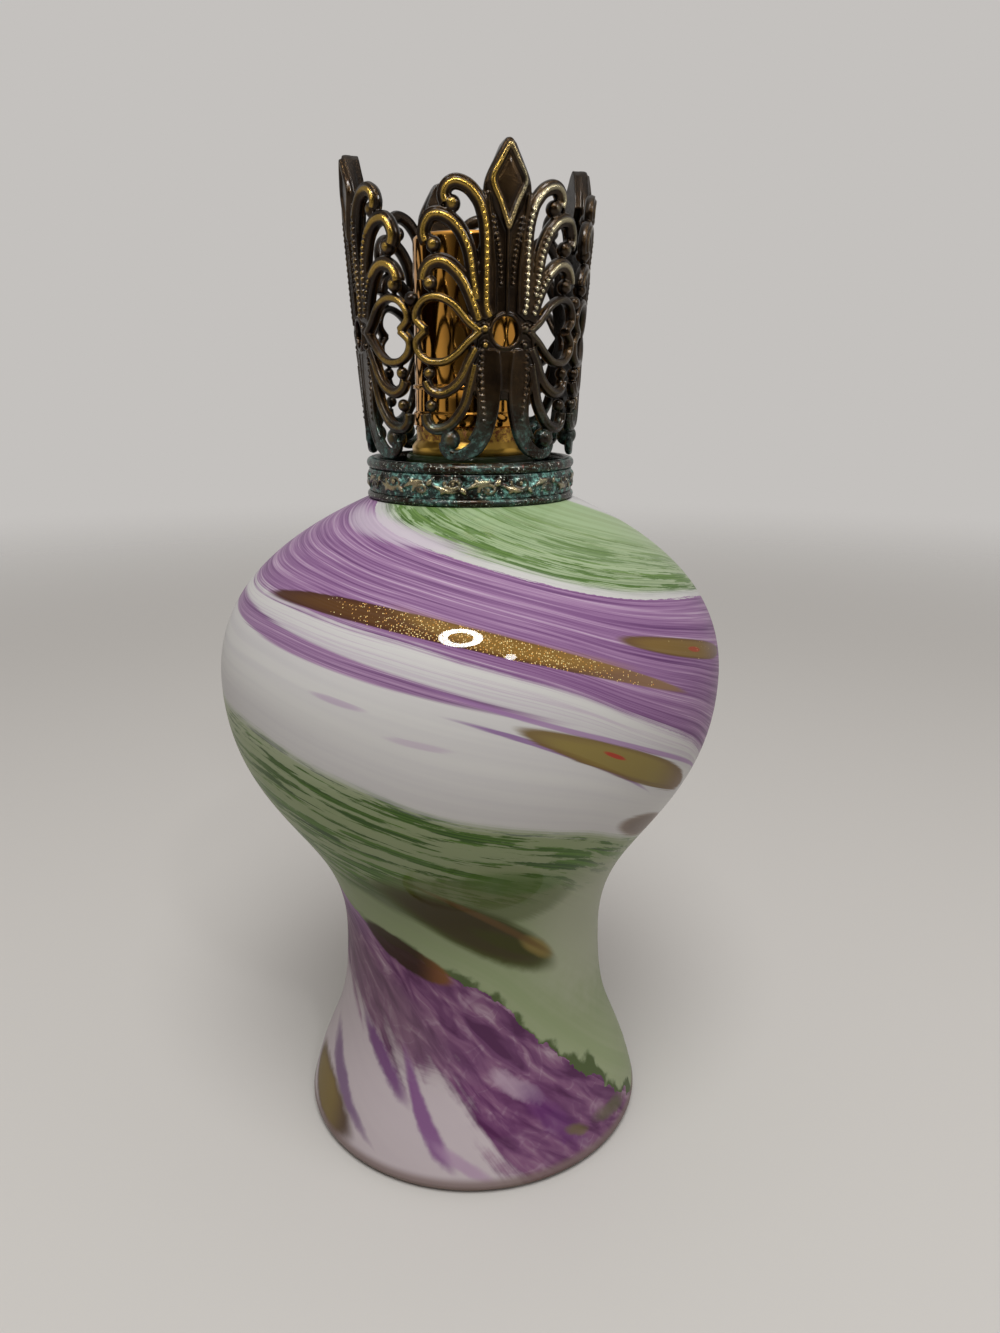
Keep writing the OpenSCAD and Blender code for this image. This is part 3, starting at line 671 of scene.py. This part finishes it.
leg = [(-2.6, 19.4, 2.6), (-2.5, 14.5, 4), (-2.6, 10.4, 3.8), (-2.9, 8.2, 3.4), (-3.5, 6, 3.1),
       (-4.6, 4, 2.8), (-6.2, 2.9, 2.4), (-7.9, 2.4, 2), (-9.4, 2.6, 1.8), (-10.5, 3.5, 1.6),
       (-10.7, 4.6, 1.4)]
curlBalls = [(-9.2, 41, 1.35), (-12.4, 35.2, 1.3), (-13, 29.5, 1.25), (-13.1, 15.7, 1.05),
             (-12.7, 10.5, 1.05), (-9.4, 5, 1.8), (-3.6, 22.6, 0.8), (-3.5, 20.1, 0.6)]
stem = [(11.4, 4.5), (13, 5.6), (16, 5.8), (19, 5.4), (22, 4.9), (25, 5.4), (29, 5.8), (33, 5.2),
        (37, 4.4), (41, 4.2), (44.3, 4), (47.5, 2.4), (50, 0.8), (50.4, 0.4)]
lozenge = [(0, 40.2), (2.1, 44.1), (0.1, 47.7)]
spike = [(0, 36.5), (2.2, 40.5), (3.7, 43.9), (2.7, 46.6), (1.1, 49.6), (0.4, 50.3), (0, 50.4)]


def widened(places, width):
    return [Vector((p[0], p[1], p[2] if len(p) > 2 else width)) for p in places]


def addTubes(bm, strokes, centre, lift, top):  # wires pressed flat behind, and flat above top
    mesh = tubes([[(Vector((p.x, p.y, 0)), p.z / 2) for p in stroke] for stroke in strokes])
    for vertex in mesh.vertices:
        vertex.co.z = min(max(centre + vertex.co.z * lift, -panel["thick"]), top)
    bm.from_mesh(mesh)
    bpy.data.meshes.remove(mesh)


def addBall(bm, place, radius, detail=3):
    bmesh.ops.create_icosphere(bm, subdivisions=detail, radius=radius, matrix=Matrix.Translation(place))


def addPlate(bm, outline, back, front, bevel):
    corners = [bm.verts.new((u, v, back)) for u, v in outline]
    base = bm.faces.new(corners)
    base.normal_update()
    grown = bmesh.ops.extrude_face_region(bm, geom=[base], use_keep_orig=True)["geom"]
    raised = [g for g in grown if isinstance(g, bmesh.types.BMVert)]
    bmesh.ops.translate(bm, verts=raised, vec=(0, 0, front - back))
    rim = [e for e in bm.edges if e.verts[0] in raised and e.verts[1] in raised]
    faces = [f for f in bm.faces if f.is_valid and any(v in raised for v in f.verts)] + [base]
    bmesh.ops.recalc_face_normals(bm, faces=faces)
    bmesh.ops.bevel(bm, geom=rim, offset=bevel, segments=2, profile=0.5, affect="EDGES", material=-1)


def makeCasting():  # one panel, drawn flat: x is u, y is v, and z is out of its face
    bm = bmesh.new()
    rows = [Vector((half, v, 0)) for v, half in stem]
    side = alongPath(rows, 0.5)
    outline = [(p.x, p.y) for p in side] + [(-p.x, p.y) for p in reversed(side)]
    addPlate(bm, outline, -panel["thick"], -panel["ground"], 0.2)
    for each in (1, -1):
        def laid(places, width):
            return alongPath([Vector((p.x * each, p.y, p.z)) for p in widened(places, width)], 0.35)

        scrolls = [laid(s, panel["scroll"]) for s in (topScroll, midScroll, lowScroll)]
        hooks = [laid(s, panel["hook"]) for s in (upperHook, lowerHook)]
        hearts = [laid(s, panel["heart"]) for s in (heartTop, heartLow)]
        addTubes(bm, scrolls, -0.95, 1.0, -0.28)
        addTubes(bm, hooks, -0.95, 1.2, -0.28)
        addTubes(bm, [laid(leg, 2)], -1.0, 0.85, -0.42)
        addTubes(bm, hearts, -0.9, 1.55, 0)
        # Ropes of beads on the straight run of each scroll, and ridges along the rest of the strips
        ridges = [laid(s, 0.8) for s in (upperHook, lowerHook)]
        for path, start, end, size in ((topScroll, 24.8, 40.6, 0.46), (midScroll, 27.6, 37.8, 0.43),
                                       (lowScroll, 25, 31.4, 0.41)):
            strip = laid(path, 1.15 if each < 0 else 0.95)
            run = [p for p in strip if start < p.y < end and abs(p.x) < 10.3]
            ridges.append(strip if each > 0 else strip[strip.index(run[-1]):])
            for p in alongPath(run, 0.95):
                addBall(bm, Vector((p.x, p.y, -0.14)), size if each < 0 else size * 0.8, 2)
        addTubes(bm, ridges, -0.34, 0.95, 0.2)
        for u, v, radius in curlBalls:
            addBall(bm, Vector((u * each, v, -radius * 0.95)), radius)
        # Legs: a beaded line down the middle, plain ridges at both sides
        inner = laid([(-1.3, 19), (-0.9, 15), (-1.0, 11.8), (-1.5, 8.6), (-2.3, 6), (-3.7, 3.9)], 0.5)
        outer = laid([(-5.0, 21), (-5.5, 16.5), (-4.6, 12), (-4.5, 9), (-4.9, 7), (-6, 5)], 0.5)
        addTubes(bm, [inner, outer], -0.5, 1.0, -0.2)
        for p in alongPath(laid([(-4.05, 19.2), (-4.1, 15), (-3.6, 10), (-3.5, 8)], 1), 1.0):
            addBall(bm, Vector((p.x, p.y, -0.52)), 0.4, 2)
        # Lozenge: its rim, and below it a thin beaded row beside a thin ridge
        rim = laid([(0, 37.6), (-1.3, 41), (-2.75, 44.4), (-1.4, 47.2), (0, 49.6)], 1.0)
        ridge = laid([(-3.5, 42.6), (-2.9, 38.6), (-2.45, 34.6), (-2.1, 31.4), (-2.0, 25.2)], 0.5)
        addTubes(bm, [rim], -0.42, 1.1, 0.1)
        addTubes(bm, [ridge], -0.5, 1.3, 0.1)
        for p in alongPath(laid([(-2.5, 39), (-1.75, 35.6), (-1.2, 32.4), (-1.0, 29)], 1), 0.8):
            addBall(bm, Vector((p.x, p.y, -0.42)), 0.33, 2)
    addTubes(bm, [alongPath(widened([(0, 38), (0, 31), (0, 24.6)], 0.6), 0.35)], -0.5, 1.4, 0.05)
    gem = [(0, lozenge[0][1]), (lozenge[1][0], lozenge[1][1]), (0, lozenge[2][1]), (-lozenge[1][0], lozenge[1][1])]
    addPlate(bm, gem, -1.0, -0.3, 0.3)
    addPlate(bm, spike + [(-u, v) for u, v in reversed(spike[1:-1])], -3.2, -0.45, 0.3)
    between = [(-2.3, 19.4), (-2.2, 13.2), (-1.2, 12.2), (0, 12.9), (1.2, 12.2), (2.2, 13.2), (2.3, 19.4)]
    addPlate(bm, between, -1.6, -0.5, 0.2)
    u, v, radius = panel["hole"]
    ring = [Vector((u + (radius + 0.25) * math.sin(a), v + (radius + 0.25) * math.cos(a), 0.6))
            for a in [math.tau * i / 40 for i in range(41)]]
    addTubes(bm, [ring], -0.55, 1.2, -0.2)
    return cutHole(remeshed(bm, panel["voxel"], 1, panel["kept"]))


def cutHole(bm):
    u, v, radius = panel["hole"]
    mesh = bpy.data.meshes.new("plate")
    bm.to_mesh(mesh)
    bm.free()
    plate = bpy.data.objects.new("plate", mesh)
    drill = bmesh.new()
    bmesh.ops.create_cone(drill, cap_ends=True, segments=48, radius1=radius, radius2=radius, depth=8,
                          matrix=Matrix.Translation((u, v, 0)))
    drillMesh = bpy.data.meshes.new("drill")
    drill.to_mesh(drillMesh)
    drill.free()
    cutter = bpy.data.objects.new("drill", drillMesh)
    for holder in (plate, cutter):
        bpy.context.collection.objects.link(holder)
    cut = plate.modifiers.new("cut", "BOOLEAN")
    cut.object = cutter
    cut.operation = "DIFFERENCE"
    cut.solver = "FAST"
    bored = bpy.data.meshes.new_from_object(plate.evaluated_get(bpy.context.evaluated_depsgraph_get()))
    for holder in (plate, cutter):
        bpy.data.objects.remove(holder)
    made = bmesh.new()
    made.from_mesh(bored)
    bpy.data.meshes.remove(bored)
    return made


def makePanels(material):
    casting = makeCasting()
    relief = casting.verts.layers.float.new("relief")
    low, high = panel["drawLow"], panel["drawHigh"]
    for vertex in casting.verts:
        u, v, out = vertex.co
        vertex[relief] = out
        share = v / high
        radius = panel["footRadius"] + (panel["topRadius"] - panel["footRadius"]) * share
        turn = u / radius
        z = panel["foot"] + v - low
        vertex.co = ((radius + out) * math.sin(turn), -(radius + out) * math.cos(turn), z)
    print("one crown panel:", len(casting.faces), "faces")
    for number in range(panel["count"]):
        turned_ = casting.copy()
        angle = math.radians(panel["turn"] + 360 / panel["count"] * number)
        bmesh.ops.rotate(turned_, verts=turned_.verts, cent=(0, 0, 0), matrix=Matrix.Rotation(angle, 3, "Z"))
        finishPiece(turned_, f"cast_panel_{number + 1}", "crown", material,
                    [f"crown_panel_{number + 1}"])
    casting.free()


# Crown's band: a vine in relief between two wires

band = {
    "radius": 18.7,
    "inside": 17.6,
    "foot": 129.05,
    "height": 4.0,
    "waves": 10,
    "swing": 0.85,
    "vine": 0.5,
    "curl": 1.2,
    "voxel": 0.14,
    "kept": 0.8,
}


def onBand(turn, height, out=0.0):
    radius = band["radius"] + out
    return Vector((radius * math.sin(turn), -radius * math.cos(turn), band["foot"] + height))


def makeBand(material):
    foot, top = band["foot"], band["foot"] + band["height"]
    middle = band["height"] / 2
    waves, curl = band["waves"], band["curl"]
    bm = turned([(band["inside"], foot), (band["radius"], foot), (band["radius"], top),
                 (band["inside"], top)], 180)
    strokes = []
    vine = []
    for i in range(361):
        turn = math.tau * i / 360
        thick = band["vine"] * (0.8 + 0.25 * math.sin(2 * waves * turn))
        vine.append((onBand(turn, middle + band["swing"] * math.sin(waves * turn)), thick))
    strokes.append(vine)
    for number in range(waves * 2):
        side = 1 if number % 2 == 0 else -1
        hub = math.tau * (number + 0.5) / (waves * 2)
        # In each hollow of the vine: a leaf that rolls up to a bead, and two small leaves beside it
        large = 1 + 0.22 * math.sin(number * 2.3)
        roll = []
        for k in range(26):
            t = k / 25
            spin = math.radians(side * (200 - 520 * t))
            reach = large * curl * (1 - t) ** 0.8 + 0.12
            height = middle - side * (0.55 - 0.1 * t) + reach * 0.8 * math.sin(spin)
            turn = hub + reach * 1.25 * math.cos(spin) / band["radius"]
            roll.append((onBand(turn, min(max(height, 0.35), 3.65)), 0.44 - 0.14 * t))
        strokes.append(roll)
        addBall(bm, onBand(hub, middle - side * 0.5), 0.45 * large, 2)
        for way in (-1, 1):
            leaf = [(onBand(hub + way * (0.07 + 0.06 * large * t), middle + side * (0.2 + 1.3 * t)),
                     0.55 * math.sin(math.pi * (0.25 + 0.7 * t))) for t in (0, 0.25, 0.5, 0.75, 1)]
            strokes.append(leaf)
    mesh = tubes(strokes, 2)
    bm.from_mesh(mesh)
    bpy.data.meshes.remove(mesh)
    casting = remeshed(bm, band["voxel"], 1, band["kept"])
    relief = casting.verts.layers.float.new("relief")
    for vertex in casting.verts:
        vertex[relief] = (vertex.co.xy.length - band["radius"]) * 2.4 - 0.85
    print("crown band:", len(casting.faces), "faces")
    return finishPiece(casting, "vine_band", "crown", material, ["crown_band"])


def crownMaterial(name, hasRelief):
    material, tree, shader = newMaterial(name, Metallic=1.0, Roughness=0.4, Coat_Weight=0.3,
                                         Coat_Roughness=0.14)
    here, x, y, z = objectPlace(tree)
    cloudy = noise(tree, here, 0.16, 4, 0.6)
    fine = noise(tree, here, 2.6, 5, 0.65)
    pits = noise(tree, here, 6.0, 3, 0.6)
    if hasRelief:
        relief = addNode(tree, "Attribute", {}, attribute_name="relief").outputs["Fac"]
    else:
        relief = calc(tree, "MULTIPLY_ADD", fine, 0.5, -0.75)
    height = calc(tree, "MULTIPLY_ADD", calc(tree, "SUBTRACT", fine, 0.5), 0.16, relief)
    # Rubbed bright on raised parts, here and there all round and more on the front panel and the band. The extra rub
    # at the front and on the band's vine is partly painted highlight, and less rub at the far left and to the right is
    # painted shade
    rubbedAndFrontLit = calc(tree, "MULTIPLY_ADD", fade(tree, y, -11.0, -17.0), 0.24, cloudy)
    rubbedAndFrontLit = calc(tree, "MULTIPLY", fade(tree, rubbedAndFrontLit, 0.44, 0.66), fade(tree, z, 138.0, 158.0))
    onBandOnly = calc(tree, "SUBTRACT", 1.0, fade(tree, z, 133.0, 136.0))
    rubbedAndFrontLit = calc(tree, "MAXIMUM", rubbedAndFrontLit, calc(tree, "MULTIPLY", onBandOnly, 0.75))
    proudWithSideShade = calc(tree, "MULTIPLY_ADD", fade(tree, x, 3.0, 9.0), -0.16, height)
    proudWithSideShade = calc(tree, "MULTIPLY_ADD", fade(tree, x, -14.0, -19.0), -0.22, proudWithSideShade)
    wornAndLit = calc(tree, "MULTIPLY", fade(tree, proudWithSideShade, -0.24, 0.12), calc(tree, "MULTIPLY_ADD", rubbedAndFrontLit, 0.75, 0.25))
    bronze = mixColour(tree, fade(tree, cloudy, 0.35, 0.65), tone(34, 24, 15), tone(57, 43, 26))
    gold = mixColour(tree, fine, tone(142, 110, 40), tone(190, 156, 72))
    # Silver on the band is its own colour; silver to the right, against gold to the left, is painted cool and warm
    # light
    silverBandAndRightLight = calc(tree, "MAXIMUM", calc(tree, "MULTIPLY", onBandOnly, 0.75), fade(tree, x, 4.0, 10.0))
    gold = mixColour(tree, silverBandAndRightLight, gold, tone(178, 168, 136))
    colour = mixColour(tree, wornAndLit, bronze, gold)
    # Painted shade: low relief darkened almost to black, in the castings' recesses and in patches on the plain wires
    recessShade = calc(tree, "SUBTRACT", 1.0, fade(tree, relief, -1.0, -0.4))
    colour = mixColour(tree, calc(tree, "MULTIPLY", recessShade, 0.75), colour, tone(20, 15, 11))

    # Verdigris in the hollows of the band and on the feet of the panels, and specks of rust
    near = calc(tree, "SUBTRACT", 1.0, fade(tree, z, 135.0, 147.0))
    hollow = calc(tree, "MULTIPLY", fade(tree, relief, -0.6, 0.1), calc(tree, "MULTIPLY_ADD", onBandOnly, 0.5, 0.35))
    hollow = calc(tree, "SUBTRACT", 1.0, hollow)
    patches = fade(tree, calc(tree, "MULTIPLY_ADD", fine, 0.4, calc(tree, "MULTIPLY", cloudy, 0.8)),
                   0.5 if hasRelief else 0.55, 0.62 if hasRelief else 0.66)
    verdigris = calc(tree, "MULTIPLY", calc(tree, "MULTIPLY", near, patches), hollow)
    bloom = calc(tree, "MULTIPLY", fade(tree, noise(tree, here, 0.9, 4, 0.7), 0.46, 0.66),
                 calc(tree, "MULTIPLY_ADD", onBandOnly, 0.6 if hasRelief else 0.2, 0.3))
    green = mixColour(tree, bloom, tone(12, 31, 27), tone(116, 172, 160))
    colour = mixColour(tree, verdigris, colour, green)
    rust = calc(tree, "MULTIPLY", fade(tree, noise(tree, here, 0.8, 5, 0.7), 0.62, 0.67), near)
    colour = mixColour(tree, calc(tree, "MULTIPLY", rust, 0.7), colour, tone(110, 50, 38))
    salt = calc(tree, "MULTIPLY", fade(tree, noise(tree, here, 2.4, 2, 0.6), 0.64, 0.7), fade(tree, z, 138.0, 134.0))
    colour = mixColour(tree, salt, colour, tone(196, 200, 186))
    tree.links.new(colour, shader.inputs["Base Color"])
    dull = calc(tree, "MAXIMUM", calc(tree, "MULTIPLY", verdigris, 0.75), calc(tree, "MAXIMUM", rust, salt))
    tree.links.new(calc(tree, "SUBTRACT", 1.0, calc(tree, "MULTIPLY", dull, 0.8)), shader.inputs["Metallic"])
    rough = mixValue(tree, wornAndLit, mixValue(tree, fine, 0.2, 0.42), mixValue(tree, fine, 0.16, 0.3))
    tree.links.new(mixValue(tree, dull, rough, 0.5), shader.inputs["Roughness"])
    tree.links.new(bump(tree, calc(tree, "ADD", fine, calc(tree, "MULTIPLY", pits, 0.4)), 0.35, 0.00025),
                   shader.inputs["Normal"])
    return material


# Collar, burner and snuffer cap

collar = {"bore": 6.9, "skirt": 7.7, "foot": 127.5, "seat": 135.5, "flange": 10.7, "edge": 1.3,
          "slope": 1.1, "body": 9.85, "bodyHeight": 2.6, "spigot": 9.2, "spigotHeight": 2.4}
cap = {"radius": 9.95, "wall": 0.6, "foot": 140.55, "top": 172.6, "edge": 0.9, "bead": 6.7,
       "beadRadius": 0.45, "rimHeight": 2.5, "rimOut": 0.4}


def makeCollar(material):
    flangeTop = collar["seat"] + collar["edge"] + collar["slope"]
    bodyTop = flangeTop + collar["bodyHeight"]
    spigotTop = bodyTop + collar["spigotHeight"]
    outline = [(collar["bore"], collar["foot"]), (collar["skirt"], collar["foot"]),
               (collar["skirt"], collar["seat"]), (collar["flange"], collar["seat"]),
               (collar["flange"], collar["seat"] + collar["edge"]), (collar["body"], flangeTop),
               (collar["body"], bodyTop), (collar["spigot"], bodyTop),
               (collar["spigot"], spigotTop), (collar["bore"], spigotTop)]
    bm = turned(outline, 128, 0.14)
    return finishPiece(bm, "turned_collar", "bottle", material, ["neck_collar"])


def makeCap(material):
    radius, wall, foot, top = cap["radius"], cap["wall"], cap["foot"], cap["top"]
    rim = radius + cap["rimOut"]
    outline = [(radius - wall, foot), (rim, foot), (rim, foot + cap["rimHeight"] - cap["rimOut"]),
               (radius, foot + cap["rimHeight"])]
    outline += [tuple(p) for p in arcPart((radius, foot + cap["bead"]), cap["beadRadius"], -90, 90, 10)]
    outline += [tuple(p) for p in arcPart((radius - cap["edge"], top - cap["edge"]), cap["edge"], 0, 90, 8)]
    outline += [(0, top), (0, top - wall), (radius - wall, top - wall)]
    bm = turned(outline, 160, 0.08)
    return finishPiece(bm, "spun_cap", "snuffer", material, ["snuffer_cap"])


def goldMaterial():
    material, tree, shader = newMaterial("polished gold", Metallic=1.0, Roughness=0.1, Anisotropic=0.4,
                                         Anisotropic_Rotation=0.25)
    here, x, y, z = objectPlace(tree)
    brushed = noise(tree, vector(tree, x, y, calc(tree, "MULTIPLY", z, 8.0)), 0.5, 4, 0.6)
    cloudy = noise(tree, here, 0.2, 4, 0.6)
    colour = mixColour(tree, cloudy, tone(204, 138, 52), tone(226, 170, 84))
    onCap = fade(tree, z, 139.8, 140.5)
    colour = mixColour(tree, onCap, tone(222, 178, 84), colour)
    # Reddish blotches where the collar's body stands, between the flange and the cap: tarnish, with a painted
    # reflection of the crown's inside
    body = calc(tree, "MULTIPLY", fade(tree, z, 137.4, 138.2),
                calc(tree, "SUBTRACT", 1.0, fade(tree, z, 140.2, 140.8)))
    blotches = fade(tree, noise(tree, here, 1.4, 5, 0.7), 0.42, 0.62)
    tarnishAndReflection = calc(tree, "MULTIPLY", body, blotches)
    colour = mixColour(tree, tarnishAndReflection, colour, tone(150, 92, 66))
    tree.links.new(colour, shader.inputs["Base Color"])
    polish = mixValue(tree, onCap, 0.3, mixValue(tree, brushed, 0.06, 0.13))
    tree.links.new(mixValue(tree, tarnishAndReflection, polish, 0.5), shader.inputs["Roughness"])
    return material


def plainMaterial(name, colours, scale, roughness, bumpHeight, **surface):  # mottled, with a fine grain
    material, tree, shader = newMaterial(name, **surface)
    here, x, y, z = objectPlace(tree)
    cloudy = noise(tree, here, scale, 5, 0.6)
    fine = noise(tree, here, scale * 9, 3, 0.6)
    tree.links.new(mixColour(tree, fade(tree, cloudy, 0.3, 0.7), *colours), shader.inputs["Base Color"])
    tree.links.new(mixValue(tree, fine, *roughness), shader.inputs["Roughness"])
    tree.links.new(bump(tree, fine, 0.5, bumpHeight), shader.inputs["Normal"])
    return material


def dress(node, material):
    slots = frame["nodes"][node].data.materials
    slots.clear()
    slots.append(material)


# Room: a pale floor that fades into a pale surround, and soft lamps

room = {
    "floor": tone(200, 197, 193),
    "surround": tone(196, 193, 190),
    "fill": (0.2, 1.05),        # strength of the surround from below and from above
    "mirrored": (0.9, 0.07),    # what polished metal sees of it behind the lamp and in front
    "ceiling": 2.4,             # and overhead
    "soft": {"place": (0.02, -0.33, 0.72), "size": 0.4, "power": 3.6},
    "bulb": {"place": (0.19, -0.53, 0.577), "size": 0.055, "power": 0.38},
    "ring": {"place": (-0.05, -0.42, 0.698), "outer": 0.08, "inner": 0.046, "wide": 1.3,
             "strength": 72.0},
    "glints": [                 # small lamps that light only the crown
        {"place": (-0.24, -0.34, 0.42), "size": 0.05, "power": 0.6},
        {"place": (0.3, -0.22, 0.34), "size": 0.08, "power": 0.7},
    ],
    "metals": ("antique brass", "antique brass wire"),
    "aim": (0, 0, 0.1),
}


def aimed(place):
    return (Vector(room["aim"]) - Vector(place)).to_track_quat("-Z", "Y").to_matrix().to_4x4()


def makeFloor():
    material, tree, shader = newMaterial("table", Roughness=0.7, Base_Color=room["floor"])
    here = addNode(tree, "TexCoord", {}).outputs["Object"]
    away = addNode(tree, "VectorMath", {0: here}, operation="LENGTH").outputs["Value"]
    clear = addNode(tree, "BsdfTransparent", {}).outputs[0]
    mixed = addNode(tree, "MixShader", {0: fade(tree, away, 0.35, 1.1), 1: shader.outputs[0], 2: clear})
    tree.links.new(mixed.outputs[0], tree.nodes["Material Output"].inputs["Surface"])
    bm = bmesh.new()
    bmesh.ops.create_circle(bm, cap_ends=True, segments=64, radius=1.2)
    addStage(bm, "table", material)


def makeRingLamp():  # its round mirror image lies on the gold streak
    ring = room["ring"]
    material = bpy.data.materials.new("ring lamp")
    material.use_nodes = True
    tree = material.node_tree
    glow = addNode(tree, "Emission", {"Strength": ring["strength"]}).outputs[0]
    tree.links.new(glow, tree.nodes["Material Output"].inputs["Surface"])
    bm = bmesh.new()
    bmesh.ops.create_circle(bm, segments=48, radius=ring["inner"])
    grown = bmesh.ops.extrude_edge_only(bm, edges=bm.edges[:])["geom"]
    outer = [g for g in grown if isinstance(g, bmesh.types.BMVert)]
    wider = ring["outer"] / ring["inner"]
    bmesh.ops.scale(bm, verts=outer, vec=(wider, wider, 1))
    bmesh.ops.scale(bm, verts=bm.verts, vec=(ring["wide"], 1, 1))
    bmesh.ops.transform(bm, verts=bm.verts, matrix=Matrix.Translation(ring["place"]) @ aimed(ring["place"]))
    lamp = addStage(bm, "ring_lamp", material)
    lamp.visible_camera = False
    lamp.visible_diffuse = False


def addStage(bm, name, material):
    mesh = bpy.data.meshes.new(name)
    bm.to_mesh(mesh)
    bm.free()
    mesh.materials.append(material)
    piece = bpy.data.objects.new(name, mesh)
    bpy.context.collection.objects.link(piece)
    return piece


def addLamp(name, lamp, mirrored, lit=None):
    data = bpy.data.lights.new(name, "AREA")
    data.shape = "DISK"
    data.size = lamp["size"]
    data.energy = lamp["power"]
    holder = bpy.data.objects.new(name, data)
    holder.matrix_world = Matrix.Translation(lamp["place"]) @ aimed(lamp["place"])
    holder.visible_glossy = mirrored
    bpy.context.collection.objects.link(holder)
    if lit:
        holder.light_linking.receiver_collection = lit


def lightRoom():
    world = bpy.data.worlds.new("room")
    bpy.context.scene.world = world
    world.use_nodes = True
    tree = world.node_tree
    backdrop = tree.nodes["Background"]
    backdrop.inputs["Color"].default_value = room["surround"]
    paths = addNode(tree, "LightPath", {}).outputs
    towards = addNode(tree, "SeparateXYZ", {0: addNode(tree, "TexCoord", {}).outputs["Generated"]}).outputs
    strength = mixValue(tree, fade(tree, towards["Z"], -0.1, 1.0), *room["fill"])
    ahead = fade(tree, calc(tree, "MULTIPLY", towards["Y"], -1.0), 0.35, 0.9)
    mirrored = mixValue(tree, ahead, *room["mirrored"])
    mirrored = mixValue(tree, fade(tree, towards["Z"], 0.78, 0.98), mirrored, room["ceiling"])
    strength = mixValue(tree, paths["Is Glossy Ray"], strength, mirrored)
    seen = calc(tree, "MAXIMUM", paths["Is Camera Ray"], paths["Is Transmission Ray"])
    tree.links.new(mixValue(tree, seen, strength, 1.0), backdrop.inputs["Strength"])
    addLamp("soft_lamp", room["soft"], False)
    addLamp("bulb_lamp", room["bulb"], True)
    metals = bpy.data.collections.new("metals")
    for piece in bpy.data.objects:
        if piece.type == "MESH" and any(m and m.name in room["metals"] for m in piece.data.materials):
            metals.objects.link(piece)
    for number, lamp in enumerate(room["glints"]):
        addLamp(f"glint_lamp_{number + 1}", lamp, True, metals)
    makeRingLamp()
    bpy.context.scene.view_settings.view_transform = "Standard"
placeCamera()
makeBottle(glassMaterial())
print("bottle blown")

castBronze = crownMaterial("antique brass", True)
wireBronze = crownMaterial("antique brass wire", False)
makePanels(castBronze)
makeBand(castBronze)
for node in ("band_top_wire", "band_foot_wire", "seam_bead_1", "seam_bead_2", "seam_bead_3", "seam_bead_4"):
    dress(node, wireBronze)
print("crown cast")

gold = goldMaterial()
makeCollar(gold)
makeCap(gold)
dress("burner_holder", plainMaterial("holder brass", (tone(196, 152, 84), tone(216, 178, 112)), 0.4,
                                     (0.2, 0.4), 0.0001, Metallic=1.0))
dress("burner_stone", plainMaterial("porous clay", (tone(214, 208, 196), tone(232, 228, 218)), 0.5,
                                    (0.75, 0.95), 0.0004))
dress("collar_cement", plainMaterial("lamp cement", (tone(196, 190, 178), tone(216, 212, 202)), 0.8,
                                     (0.8, 0.95), 0.0003))
dress("cap_seal", plainMaterial("silicone", (tone(206, 204, 198), tone(220, 218, 212)), 0.5,
                                (0.35, 0.5), 0.0001))
dress("cotton_wick", plainMaterial("cotton", (tone(226, 220, 206), tone(238, 234, 224)), 0.9,
                                   (0.85, 1.0), 0.0006))
print("collar, burner and cap dressed")

makeFloor()
lightRoom()
